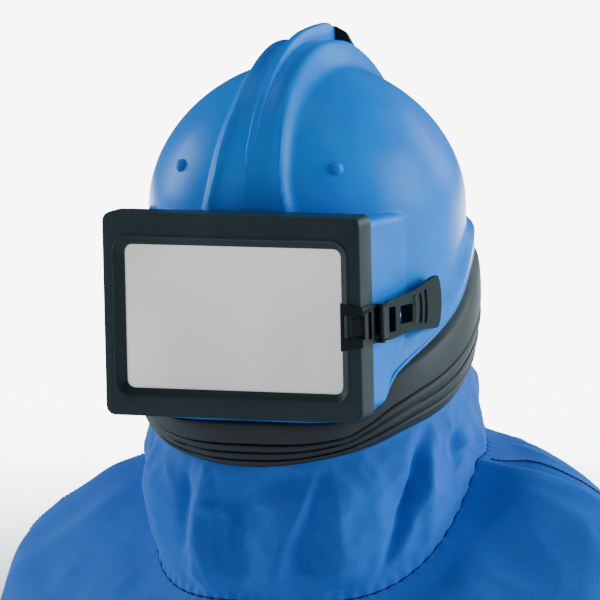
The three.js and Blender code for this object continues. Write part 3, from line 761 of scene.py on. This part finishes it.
pane = loft("visor_pane", [
    (lens_width + 6.6, lens_height + 6.6, 5.6, 7),
    (lens_width + 7.4, lens_height + 7.4, 6, 7.4),
    (lens_width + 7.4, lens_height + 7.4, 6, 10),
], place=lens_place)
finished(pane, "window", pale_pane, 32)
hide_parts("lens")

# Hinge
# Two ears on a plate at the side of the snout, on the wearer's right, and a steel pin through them
# and the frame's knuckle.


def brushed_steel(name):
    """Zinc-plated steel: bright, with fine turning marks that stretch the highlights."""
    material, place = new_material(name)
    marks = node(
        material, "ShaderNodeTexNoise", {"Scale": 900, "Detail": 2, "Roughness": 0.6},
        {"Vector": (place, "Object")},
    )
    colour = node(
        material, "ShaderNodeValToRGB", links={"Fac": (marks, "Fac")},
        stops=[(0.35, "a9adb1"), (0.65, "cdd0d3")],
    )
    gloss = node(
        material, "ShaderNodeMapRange", {"To Min": 0.2, "To Max": 0.38}, {"Value": (marks, "Fac")},
    )
    node(
        material, "Principled BSDF", {"Metallic": 1},
        {"Base Color": (colour, "Color"), "Roughness": (gloss, "Result")},
    )
    return material


plated_steel = brushed_steel("zinc_plated_steel")
ear_low = 13.9
ear_high = 22.9
plate_start = hinge_y + 8.1
plate_end = plate_start + 26
bracket = block(
    "snout_bracket", (hinge_x - 4.5, plate_start, -ear_high), (hinge_x + 13.5, plate_end, ear_high),
    window_place,
)
for sign in (-1, 1):
    low, high = sorted((sign * ear_low, sign * ear_high))
    joined(bracket, rod("ear_eye", 4.5, hinge_x, hinge_y, low, high))
    ear = block("ear", (hinge_x - 4.5, hinge_y, low), (hinge_x + 4, plate_end, high), window_place)
    joined(bracket, ear)
cut(bracket, rod("bracket_bore", 2.3, hinge_x, hinge_y, -25, 25))
cut(bracket, snout("bracket_seat", 120, 8, -0.3))
softened(bracket, 0.7, 2)
finished(bracket, "helmet", black_abs, 40)
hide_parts("hinge_bracket")

pin = rod("turned_pin", 2, hinge_x, hinge_y, -ear_high, ear_high)
softened(pin, 0.4, 3)
finished(pin, "helmet", plated_steel, 40)
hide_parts("hinge_pin")

# Latch
# A black clip that grips the frame's side, with a bow-tie lever behind it. The lever has a square
# hole that hooks over a steel stud, a rounded rib beside the hole and two curved grip grooves.

side_in = frame_width / 2 + 0.3
side_end = side_in + 2
clip_front = -2.3
pivot_x = frame_width / 2 + 5
pivot_y = frame_depth + 5


clip_half_height = 15
clip_flare = 3.5


def flared(p):
    """The clip's face gets taller towards the pane."""
    grow = 1 + clip_flare / clip_half_height * clamp((side_end - p.x) / 18)
    return Vector((p.x, p.y, p.z * grow))


# The clip is cut from one block: x is across the frame, y is behind its face and z is up it.
clip_low = (frame_width / 2 - 16, clip_front, -clip_half_height)
clip = block("clip_body", clip_low, (side_end, pivot_y, clip_half_height))
moved(clip, flared)
inner = block("clip_inside", (frame_width / 2 - 20, -0.3, -20), (side_in, pivot_y + 5, 20))
cut(clip, inner)
cut(clip, block("clip_window", (92.5, -5, -9), (110, 2.6, 9)))
cut(clip, block("clip_slot", (105, 9.5, -10.5), (110, 16.5, 10.5)))
cut(clip, block("lever_slot", (105, 22, -12.4), (110, 33, 12.4)))
lug_gap = 12.8
for low, high in ((lug_gap, clip_half_height), (-clip_half_height, -lug_gap)):
    joined(clip, rod("lug", 3, pivot_x, pivot_y, low, high, unmoved))
    joined(clip, block("lug_web", (side_in, pivot_y - 3, low), (pivot_x, pivot_y + 3, high)))
joined(clip, block("back_web", (104.6, 25.6, -13.4), (106.6, 36, 13.4)))
cut(clip, rod("lever_room", 3.8, pivot_x, pivot_y, -lug_gap, lug_gap, unmoved))
softened(clip, 0.45, 2)
joined(clip, rod("latch_bar", 1.2, pivot_x, pivot_y, -14, 14, unmoved))
catch_start = 99
catch = block("catch_tongue", (catch_start, -1.9, -8.2), (106.6, -0.4, 8.2))
moved(catch, lambda p: p + Vector((0, 0.72 * (p.x - catch_start), 0)))
softened(catch, 0.6, 3)
joined(clip, catch)
for side in (-1, 1):
    low, high = sorted((side * 7.6, side * 9.6))
    joined(clip, block("catch_end", (98.8, -2, low), (104, -0.4, high)))
moved(clip, lambda p: latch_place @ p)
finished(clip, "window", black_abs, 40)
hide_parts("latch_clip")

lever_length = 90
lever_rake = math.tan(math.radians(4.5))
lever_thickness = 3.5
lever_tip_y = pivot_y + lever_length - window_reach
dome_side = half_width * (1 - (abs(lever_tip_y) / front) ** roundness) ** (1 / roundness)
lever_splay = math.asin((dome_side + 7.6 - pivot_x) / lever_length)
lever_place = (
    latch_place
    @ Matrix.Translation((pivot_x, pivot_y, 0))
    @ Matrix.Rotation(math.pi / 2 - lever_splay, 4, "Z")
)
lever_start = 0.05
pad_start = 0.91
lever_half_at = curve_through([
    [lever_start, 14.2], [0.1, 14.9], [0.2, 15.1], [0.3, 14.9], [0.42, 15], [0.55, 15.6], [0.75, 18.2],
    [pad_start, 20],
])

bpy.ops.mesh.primitive_grid_add(x_subdivisions=90, y_subdivisions=24, size=2)
lever = started("bow_tie_lever")


def lever_point(p):
    """The plate's outline: waisted behind the bar, and wide with a bowed end at the pad."""
    bow = 0.09 * math.sqrt(1 - 0.9 * p.y ** 2)
    share = mix(lever_start, pad_start + bow, (p.x + 1) / 2)
    x = share * lever_length
    return Vector((x, 0, x * lever_rake + p.y * lever_half_at(share)))


moved(lever, lever_point)
modified(lever, "SOLIDIFY", thickness=lever_thickness, offset=0)
joined(lever, block("lever_neck", (-0.1, -1.9, -12.4), (8.1, 1.9, 12.4)))
joined(lever, rod("lever_eye", 2.6, 0, 0, -12.4, 12.4, unmoved))
socket_depth = 8.2
hole_start = 0.285
for start, end, half in ((0.1, 0.21, 9.6), (hole_start, 0.5, 7.05)):
    a, b = start * lever_length, end * lever_length
    rise = (a + b) / 2 * lever_rake
    low, high = (a - 1.4, 1, rise - half - 1.4), (b + 1.4, socket_depth, rise + half + 1.4)
    joined(lever, block("lever_socket", low, high))
    opening = block("lever_opening", (a, -6, rise - half), (b, 12, rise + half), corner=0.8)
    cut(lever, opening)
softened(lever, 0.6, 3)


def grip_arc(name, middle, radius, sweep, thickness, sunk=0):
    """A curved rod in the lever's face, made by spinning a small ring about the arc's middle."""
    bpy.ops.mesh.primitive_circle_add(vertices=14, radius=thickness, fill_type="NGON")
    piece = started(name)
    rise = middle * lever_rake
    turned = Matrix.Rotation(math.radians(sweep), 4, "Y")
    centre = Vector((middle - radius, sunk - lever_thickness / 2, rise))
    moved(piece, lambda p: centre + turned @ Vector((radius + p.x, p.y, 0)))
    arc = dict(steps=28, angle=math.radians(2 * sweep), center=centre, axis=(0, 1, 0))
    edited(piece, ("spin", arc))
    edited(piece, faces_out)
    return piece


cut(lever, grip_arc("groove", 0.645 * lever_length, 44, 15, 2.1))
cut(lever, grip_arc("groove", 0.735 * lever_length, 44, 17, 2.1))
joined(lever, grip_arc("rib", 0.545 * lever_length, 60, 11, 3.4, 2.2))
cut(lever, rod("lever_bore", 1.6, 0, 0, -12, 12, unmoved))
moved(lever, lambda p: lever_place @ p)
finished(lever, "latch", black_abs, 40)
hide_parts("latch_lever")

stud_radius = 2.6
stud_length = 36
stud_overlap = 0.9
along = hole_start * lever_length + stud_radius + 1
stud_middle = (lever_thickness + stud_length) / 2 - stud_overlap
bpy.ops.mesh.primitive_cylinder_add(vertices=40, radius=stud_radius, depth=stud_length)
stud = started("steel_keeper")
upright = Matrix.Rotation(-math.pi / 2, 4, "X")
moved(stud, lambda p: upright @ p + Vector((along, stud_middle, along * lever_rake)))
softened(stud, 0.5, 4)
moved(stud, lambda p: lever_place @ p)
cut(stud, snout("stud_seat", 120, 8, -0.3))
finished(stud, "helmet", plated_steel, 40)
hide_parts("keeper_stud")

# Neck band
# A ring of black rubber that hangs from the shell's rim. It bulges out, smooth above and with three
# moulded grooves near its lower edge.

band_share = curve_through([
    [0, 1], [0.06, 0.925], [0.15, 0.817], [0.23, 0.71], [0.37, 0.587], [0.54, 0.43], [0.72, 0.28],
    [0.86, 0.1], [1, 0],
])
band_bulge_at = curve_through([
    [0, 0.45], [0.08, 0.7], [0.22, 0.88], [0.43, 1], [0.6, 0.99], [0.77, 0.93], [0.84, 0.89],
    [1, 0.65],
])
band_wall = 4


def band_height(y):
    return equator - mix(95, 199, band_share((y + front) / (front + back)))


def plan_point(turn, across, ahead, behind, squareness):
    """A point of an oval seen from above: 0 is the wearer's left and 90 degrees the back."""
    c, s = math.cos(turn), math.sin(turn)
    power = 2 / squareness
    reach = ahead if s < 0 else behind
    return Vector((
        math.copysign(across * abs(c) ** power, c),
        math.copysign(reach * abs(s) ** power, s),
    ))


def band_point(turn, share, bulge, outward, gap=0):
    top = plan_point(turn, half_width, front, back, 2.04)
    bottom = plan_point(turn, half_width - 7, front - 10.5, back - 3.5, 2.04)
    plan = top.lerp(bottom, share)
    fullness = 1 - 0.62 * max(0, -math.sin(turn)) ** 2
    plan += (outward + 15 * bulge * fullness) * plan.normalized()
    z = mix(min(rim_height(plan.y), rim_height(top.y)) - gap, band_height(plan.y), share)
    return Vector((plan.x, plan.y, z))


def band_face(u, v):
    """Round the band's section: down the outside with its grooves, and up the inside."""
    turn = 2 * math.pi * u
    if v <= 0.62:
        share = v / 0.62
        groove = sum(math.exp(-((share - c) / 0.017) ** 4) for c in (0.465, 0.635, 0.805))
        swell = sum(math.exp(-((share - c) / 0.05) ** 2) for c in (0.55, 0.72, 0.885))
        edge = smooth(share, 0, 0.03) * (1 - smooth(share, 0.975, 1))
        outward = -2.4 * groove + 0.7 * swell - 1.2 * (1 - edge)
    else:
        share = 1 - (v - 0.62) / 0.38
        outward = -band_wall
    return band_point(turn, share, band_bulge_at(share), outward, 0.3)


def rubber(name):
    """Black EPDM rubber with a grey bloom: matt, dusty in random patches, with a fine skin grain."""
    material, place = new_material(name)
    bloom, skin = (
        node(
            material, "ShaderNodeTexNoise", {"Scale": scale, "Detail": detail, "Roughness": rough},
            {"Vector": (place, "Object")},
        )
        for scale, detail, rough in ((30, 6, 0.65), (1100, 2, 0.6))
    )
    colour = node(
        material, "ShaderNodeValToRGB", links={"Fac": (bloom, "Fac")},
        stops=[(0.3, "141719"), (0.55, "1e2224"), (0.8, "2b3032")],
    )
    bump = node(
        material, "ShaderNodeBump", {"Strength": 0.4, "Distance": 0.0002}, {"Height": (skin, "Fac")},
    )
    gloss = node(
        material, "ShaderNodeMapRange", {"To Min": 0.5, "To Max": 0.72}, {"Value": (bloom, "Fac")},
    )
    node(
        material, "Principled BSDF", {"IOR": 1.5, "Specular IOR Level": 0.55},
        {"Base Color": (colour, "Color"), "Roughness": (gloss, "Result"), "Normal": (bump, "Normal")},
    )
    return material


band_rubber = rubber("epdm_rubber")
band = wrapped("ribbed_band", 220, 110, band_face, True)
finished(band, "helmet", band_rubber, 60)
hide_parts("neck_band")

# Collar
# Blue cotton drill between the band and the neckline seam. It is gathered under the band and hangs
# in soft folds with crumpled facets between them, and its foot is sewn to the cape.

cloth_thickness = 1.6
torso_shift = 28
torso_side = 4
fold_depth = 10


def fold_lift(rows, turn, share):
    """The folds' height. Each row: degrees at top and foot, width of each flank, depth, start, end."""
    degrees = math.degrees(turn)
    lift = 0
    for top, foot, before, after, depth, start, end in rows:
        off = (degrees - mix(top, foot, share) + 180) % 360 - 180
        run = clamp((share - start) / (end - start))
        profile = math.exp(-abs(off / (before if off < 0 else after)) ** 1.5)
        lift += fold_depth * depth * profile * math.sin(math.pi * run) ** 0.6
    return lift


# The creases bend by noise from a fixed seed, so that each run gives the same cloth.
noise.seed_set(7)


def creases(turn, share, radius, stretch, seed):
    """Crumpled cloth: flat facets with sharp folds between them, large ones and small ones."""
    place = Vector((radius * math.cos(turn), radius * math.sin(turn), stretch * share + seed))
    bent = place + 0.35 * noise.noise_vector(0.8 * place)
    return 1 - 2.2 * abs(noise.noise(bent)) - 1.1 * abs(noise.noise(2.6 * bent))


neck_side = 130
neck_front = 137
neck_back = 126


def puckers(turn):
    """The small gathers that a seam draws up."""
    return 0.9 * math.sin(74 * turn)


def seam_height(turn):
    ahead = math.sin(math.pi / 2 * max(0, -math.sin(turn)))
    behind = max(0, math.sin(turn)) ** 1.6
    return equator - (198 + 103 * ahead - 38 * behind)


def neckline_point(turn, outward):
    plan = plan_point(turn, neck_side, neck_front, neck_back, 2)
    plan += outward * plan.normalized()
    return Vector((plan.x + torso_side, plan.y + torso_shift, seam_height(turn)))


collar_folds = [
    [-143, -146, 5, 17, 1.1, -0.15, 1.05], [-120, -122, 3, 3, -0.5, -0.05, 0.7],
    [-112, -108, 4, 13, 0.8, -0.25, 0.4], [-112, -113, 4.5, 12, 1.2, 0.3, 1.1],
    [-94, -97, 6, 6, -0.8, 0.02, 1], [-66, -85, 14, 3.6, 1.4, 0.12, 1.12],
    [-58, -62, 5, 26, 1.7, -0.05, 1], [-18, -52, 3, 3, -1, -0.08, 0.95],
    [-12, -47, 3, 7, 0.8, -0.05, 0.9], [-26, -30, 3, 9, 0.7, 0.3, 1.02],
    [-8, 0, 3, 6, 0.8, 0.02, 0.65], [-2, -14, 3, 3, -0.7, 0.1, 0.65], [8, 4, 4, 10, 0.6, 0, 1.1],
    [38, 46, 8, 8, 0.8, -0.1, 1], [52, 50, 4, 4, -0.7, 0, 0.8], [66, 62, 7, 7, -0.8, 0.2, 1.1],
    [80, 84, 4, 8, 0.8, 0.1, 1], [94, 90, 8, 5, 0.7, 0, 1], [124, 130, 7, 7, -0.9, 0.2, 1.1],
    [140, 136, 4, 8, 0.8, 0, 0.9], [152, 146, 8, 8, 0.6, 0, 1], [-170, -160, 5, 5, -0.9, 0.1, 1.1],
    [-156, -160, 6, 5, 0.6, 0, 0.8],
]


def collar_point(u, v):
    turn = 2 * math.pi * u
    share = mix(-0.06, 1, v)
    inset = -band_wall - 0.3
    held = band_point(turn, 1, 0.65, inset)
    if share < 0:
        tuck = 6 / max(rim_height(held.y) - band_height(held.y), 1)
        return band_point(turn, 1 - tuck * share / -0.06, 0.65, inset)
    foot = neckline_point(turn, 0)
    point = held.lerp(foot, share)
    point.z = mix(held.z - 0.4, foot.z + 0.4, share)
    away = Vector((foot.x - torso_side, foot.y - torso_shift, 0)).normalized()
    loose = smooth(share, 0.02, 0.3) * (1 - smooth(share, 0.8, 0.99))
    crease_height = 3.2 * creases(turn, share, 2.6, 1.6, 11) * smooth(share, 0, 0.1)
    pucker = puckers(turn) * math.exp(-((share - 1) / 0.07) ** 2)
    lift = loose * fold_lift(collar_folds, turn, share) + crease_height * (1 - smooth(share, 0.93, 1))
    return point + (lift + pucker) * away


def woven(name, dark, middle, light, across, along):
    """Blue cotton drill: a plain weave with threads of about 0.5 mm, drawn at 1.4 mm so that it shows,
    slightly uneven dye, and the soft sheen of raised fibres."""
    material, place = new_material(name)
    pitch = 0.0014
    threads = node(
        material, "ShaderNodeMapping", {"Scale": (across / pitch, along / pitch, 1)},
        {"Vector": (place, "UV")},
    )
    # At this scale a wave texture has one band to each unit, which is one thread.
    warp, weft = (
        node(
            material, "ShaderNodeTexWave", {"Scale": 0.314, "Distortion": 0.6, "Detail": 1},
            {"Vector": (threads, "Vector")}, bands_direction=direction,
        )
        for direction in "XY"
    )
    weave = node(
        material, "ShaderNodeMath", links={0: (warp, "Fac"), 1: (weft, "Fac")}, operation="MULTIPLY",
    )
    dye, fibres = (
        node(
            material, "ShaderNodeTexNoise", {"Scale": scale, "Detail": detail, "Roughness": rough},
            {"Vector": (place, "Object")},
        )
        for scale, detail, rough in ((14, 6, 0.6), (700, 2, 0.7))
    )
    colour = node(
        material, "ShaderNodeValToRGB", links={"Fac": (dye, "Fac")},
        stops=[(0.25, dark), (0.5, middle), (0.78, light)],
    )
    shade = node(material, "ShaderNodeMath", {1: 0.22}, {0: (weave, "Value")}, operation="MULTIPLY")
    worn = node(
        material, "ShaderNodeMix", {"B": linear(dark)},
        {"A": (colour, "Color"), "Factor": (shade, "Value")}, data_type="RGBA",
    )
    height = node(
        material, "ShaderNodeMath", links={0: (weave, "Value"), 1: (fibres, "Fac")}, operation="ADD",
    )
    bump = node(
        material, "ShaderNodeBump", {"Strength": 0.5, "Distance": 0.0004}, {"Height": (height, "Value")},
    )
    node(
        material, "Principled BSDF",
        {"Roughness": 0.8, "Sheen Weight": 0.08, "Sheen Roughness": 0.4, "IOR": 1.45},
        {"Base Color": (worn, "Result"), "Normal": (bump, "Normal")},
    )
    return material


def sewn(name, path, stitches, closed):
    """A line of stitches: one thread, 1 mm thick, that dips into the cloth after each stitch. path
    gives the place on the cloth and the way out of it, for each share of the line."""
    rings = 6 * stitches
    rows = [path(k / rings) for k in range(-1, rings + 2)]

    def place(u, v):
        k = round(u * rings)
        point, out = rows[k + 1]
        side = out.cross(rows[k + 2][0] - rows[k][0]).normalized()
        lifted = abs(math.sin(math.pi * k / 6)) ** 0.4
        angle = 2 * math.pi * v
        radius = 0.1 + 0.45 * lifted
        ring = math.cos(angle) * side + math.sin(angle) * out
        return point + (0.5 * lifted - 0.45) * out + radius * ring

    thread = wrapped(name, rings, 6, place, closed)
    return thread if closed else closed_ends(thread)


def cotton_thread(name):
    """Doubled navy sewing thread: matt, with fine twist marks."""
    material, place = new_material(name)
    twist = node(
        material, "ShaderNodeTexNoise", {"Scale": 1500, "Detail": 1}, {"Vector": (place, "Object")},
    )
    colour = node(
        material, "ShaderNodeValToRGB", links={"Fac": (twist, "Fac")},
        stops=[(0.35, "061230"), (0.65, "10285c")],
    )
    node(material, "Principled BSDF", {"Roughness": 0.75, "IOR": 1.45}, {"Base Color": (colour, "Color")})
    return material


collar_cloth = woven("cotton_drill_collar", "005abe", "0764c8", "0e6ed2", 0.84, 0.12)
collar = wrapped("cloth_collar", 320, 70, lambda u, v: collar_point(1 - u, v))
modified(collar, "SOLIDIFY", thickness=cloth_thickness, offset=-1)
finished(collar, "helmet", collar_cloth, 75)
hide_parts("collar")

navy_thread = cotton_thread("navy_cotton_thread")


def neckline_path(share):
    turn = 2 * math.pi * share
    out = neckline_point(turn, 1) - neckline_point(turn, 0)
    return neckline_point(turn, puckers(turn) + 0.1), (out + Vector((0, 0, 0.5))).normalized()


neckline_thread = sewn("neckline_thread", neckline_path, 190, True)
finished(neckline_thread, "helmet", navy_thread, 60)

# Cape
# The same drill, cut as a front and a back that are sewn together over the shoulders. It is sewn to
# the collar, lies on the shoulders and falls in flutes to a folded hem over chest, back and arms.

cape_rows = [
    [0, 0, 0, 0, 0, 0, 0],
    [0.06, 0.12, 0.012, 0.08, 0.06, 0.1, 0.03],
    [0.15, 0.31, 0.03, 0.24, 0.14, 0.3, 0.09],
    [0.26, 0.54, 0.09, 0.42, 0.25, 0.55, 0.19],
    [0.38, 0.73, 0.17, 0.58, 0.38, 0.76, 0.34],
    [0.5, 0.83, 0.32, 0.7, 0.51, 0.88, 0.49],
    [0.63, 0.88, 0.49, 0.8, 0.64, 0.94, 0.63],
    [0.76, 0.93, 0.67, 0.88, 0.77, 0.97, 0.77],
    [0.88, 0.97, 0.84, 0.94, 0.89, 0.99, 0.89],
    [1, 1, 1, 1, 1, 1, 1],
]
side_out, side_down, chest_out, chest_down, back_out, back_down = (
    curve_through([[row[0], row[k]] for row in cape_rows]) for k in range(1, 7)
)
cape_folds = [
    [-50, -42, 5, 13, 1.1, 0.05, 1.2], [-68, -62, 8, 8, -0.9, 0.1, 1.2],
    [-84, -86, 6, 12, 1, 0.1, 1.2], [-104, -108, 9, 9, -0.8, 0, 1.2],
    [-128, -124, 6, 12, 1, 0.05, 1.2], [-150, -146, 9, 9, -0.8, 0, 0.5],
    [-168, -160, 9, 6, 0.9, 0, 0.7], [-24, -28, 8, 8, -0.7, 0.2, 1.2],
    [-8, -12, 5, 9, 0.6, 0.05, 0.6], [20, 26, 9, 4, -1.1, 0.12, 1.2],
    [44, 40, 4, 11, 1.4, 0.06, 1.2], [66, 58, 5, 5, -1.1, 0.1, 0.8],
    [82, 88, 11, 4, 1.3, 0.04, 1.2], [97, 100, 5, 5, -1, 0.12, 1.2],
    [112, 108, 4, 11, 1.4, 0.05, 1.2], [134, 140, 5, 5, -1.1, 0.1, 0.9],
    [152, 156, 9, 4, 1.1, 0.08, 1.2],
]
hem_drop = 575
hem_side = 300
hem_reach = 176
hem_line = 0.95
shoulder_seams = [math.radians(k) for k in (3, 177)]


def cape_surface(turn, share, outward):
    sine = math.sin(turn)
    on_shoulder = math.cos(turn) ** 2
    out, down = (chest_out, chest_down) if sine < 0 else (back_out, back_down)
    falls = smooth(share, 0.25, 1)
    plan = plan_point(
        turn,
        mix(neck_side, hem_side, side_out(share)),
        mix(neck_front, hem_reach, out(share)),
        mix(neck_back, hem_reach, out(share)),
        2 + 0.3 * falls,
    )
    fall = mix(down(share), side_down(share), on_shoulder)
    raised = smooth(share, 0.04, 0.3) * (1 - smooth(share, 0.45, 1))
    z = mix(seam_height(turn) - 0.4, equator - hem_drop, fall) + 11 * math.cos(turn) * raised
    fold = smooth(share, 0, 0.2) * fold_lift(cape_folds, turn, share)
    fullness = 13 + 4 * math.sin(3 * turn + 1)
    flute = fullness * falls * math.cos(13 * turn + 1.2 * math.sin(2 * turn) + 2 * share)
    steep = smooth(share, 0, 0.5)
    away = Vector((plan.x, plan.y, 0)).normalized()
    lift = Vector((away.x * steep, away.y * steep, 1 - steep)).normalized()
    crease_height = 4.5 * creases(turn, share, 2.2, 2.4, 3) * smooth(share, 0.02, 0.12)
    pucker = puckers(turn) * math.exp(-(share / 0.02) ** 2)
    outward += 1.1 * smooth(share, hem_line, hem_line + 0.01)
    aside = min(abs(turn - seam) % (2 * math.pi) for seam in shoulder_seams)
    outward += 0.9 * math.exp(-(aside / 0.012) ** 2) * smooth(share, 0.02, 0.06)
    return (
        Vector((plan.x + torso_side, plan.y + torso_shift, z))
        + (outward + crease_height + pucker) * lift
        + (0.5 * fold + flute) * away
    )


cape_cloth = woven("cotton_drill_cape", "005abe", "0764c8", "0e6ed2", 1.3, 0.45)
cape = wrapped("cloth_cape", 380, 112, lambda u, v: cape_surface(-2 * math.pi * u, v, 0))
modified(cape, "SOLIDIFY", thickness=cloth_thickness, offset=-1)
finished(cape, "helmet", cape_cloth, 75)
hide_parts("cape")


def on_cape(turn, share):
    """A place on the cape's cloth, and the way out of it."""
    around = cape_surface(turn + 0.01, share, 0) - cape_surface(turn - 0.01, share, 0)
    down = cape_surface(turn, share + 0.004, 0) - cape_surface(turn, share - 0.004, 0)
    out = down.cross(around).normalized()
    return cape_surface(turn, share, 0) + 0.6 * out, out


def hem_path(share):
    return on_cape(2 * math.pi * share, hem_line - 0.006)


hem_thread = sewn("hem_thread", hem_path, 460, True)
finished(hem_thread, "helmet", navy_thread, 60)
for side, turn in zip(("left", "right"), shoulder_seams):
    thread = sewn(
        f"{side}_shoulder_thread", lambda share: on_cape(turn + 0.03, mix(0.03, 0.94, share)), 90, False,
    )
    finished(thread, "helmet", navy_thread, 60)

# Studio
# A pale floor under the hem, which brightens in the distance, most of all behind the hood, so that it
# makes a plain background. Soft, slightly cool light, strongest from the wearer's left.

bpy.ops.mesh.primitive_plane_add(size=240, location=(0, 0, cad_low.z - 0.002))
floor = bpy.context.object
floor.name = "studio_floor"
floor_paint, floor_place = new_material("studio_paint")
floor_far, floor_way = (
    node(floor_paint, "ShaderNodeVectorMath", links={0: (floor_place, "Object")}, operation=operation)
    for operation in ("LENGTH", "NORMALIZE")
)
floor_aim = node(
    floor_paint, "ShaderNodeVectorMath", {1: (-0.37, 0.93, 0)}, {0: (floor_way, "Vector")},
    operation="DOT_PRODUCT",
)
floor_behind = node(
    floor_paint, "ShaderNodeMapRange", {"From Min": 0.74, "From Max": 0.96, "To Min": 0.9, "To Max": 8},
    {"Value": (floor_aim, "Value")}, interpolation_type="SMOOTHSTEP",
)
floor_glow = node(
    floor_paint, "ShaderNodeMapRange", {"From Min": 1.8, "From Max": 4.6, "To Min": 0.05},
    {"Value": (floor_far, "Value"), "To Max": (floor_behind, "Result")},
    interpolation_type="SMOOTHSTEP",
)
node(
    floor_paint, "Principled BSDF",
    {"Base Color": linear("f4f4f4"), "Roughness": 0.95, "Emission Color": linear("ffffff")},
    {"Emission Strength": (floor_glow, "Result")},
)
floor.data.materials.append(floor_paint)

daylight = linear("ddf7ff")
world = bpy.data.worlds.new("studio")
bpy.context.scene.world = world
world.use_nodes = True
node(world, "Background", {"Color": daylight, "Strength": 0.09})

for name, place, size, power in (
    ("key_light", (3.2, 0.8, 0.9), 2, 140),
    ("edge_light", (1.6, 2.8, 1), 1.6, 35),
    ("left_light", (-3.2, 0.1, 0.9), 1.6, 84),
    ("fill_light", (-2, -3.2, 1.4), 2, 23),
    ("top_light", (-0.5, -0.2, 3), 1.4, 26),
):
    bpy.ops.object.light_add(type="AREA", location=place)
    light = bpy.context.object
    light.name = name
    light.data.size = size
    light.data.energy = power
    light.data.color = daylight[:3]
    light.rotation_mode = "QUATERNION"
    light.rotation_quaternion = (Vector((0, 0, -0.2)) - Vector(place)).to_track_quat("-Z", "Y")
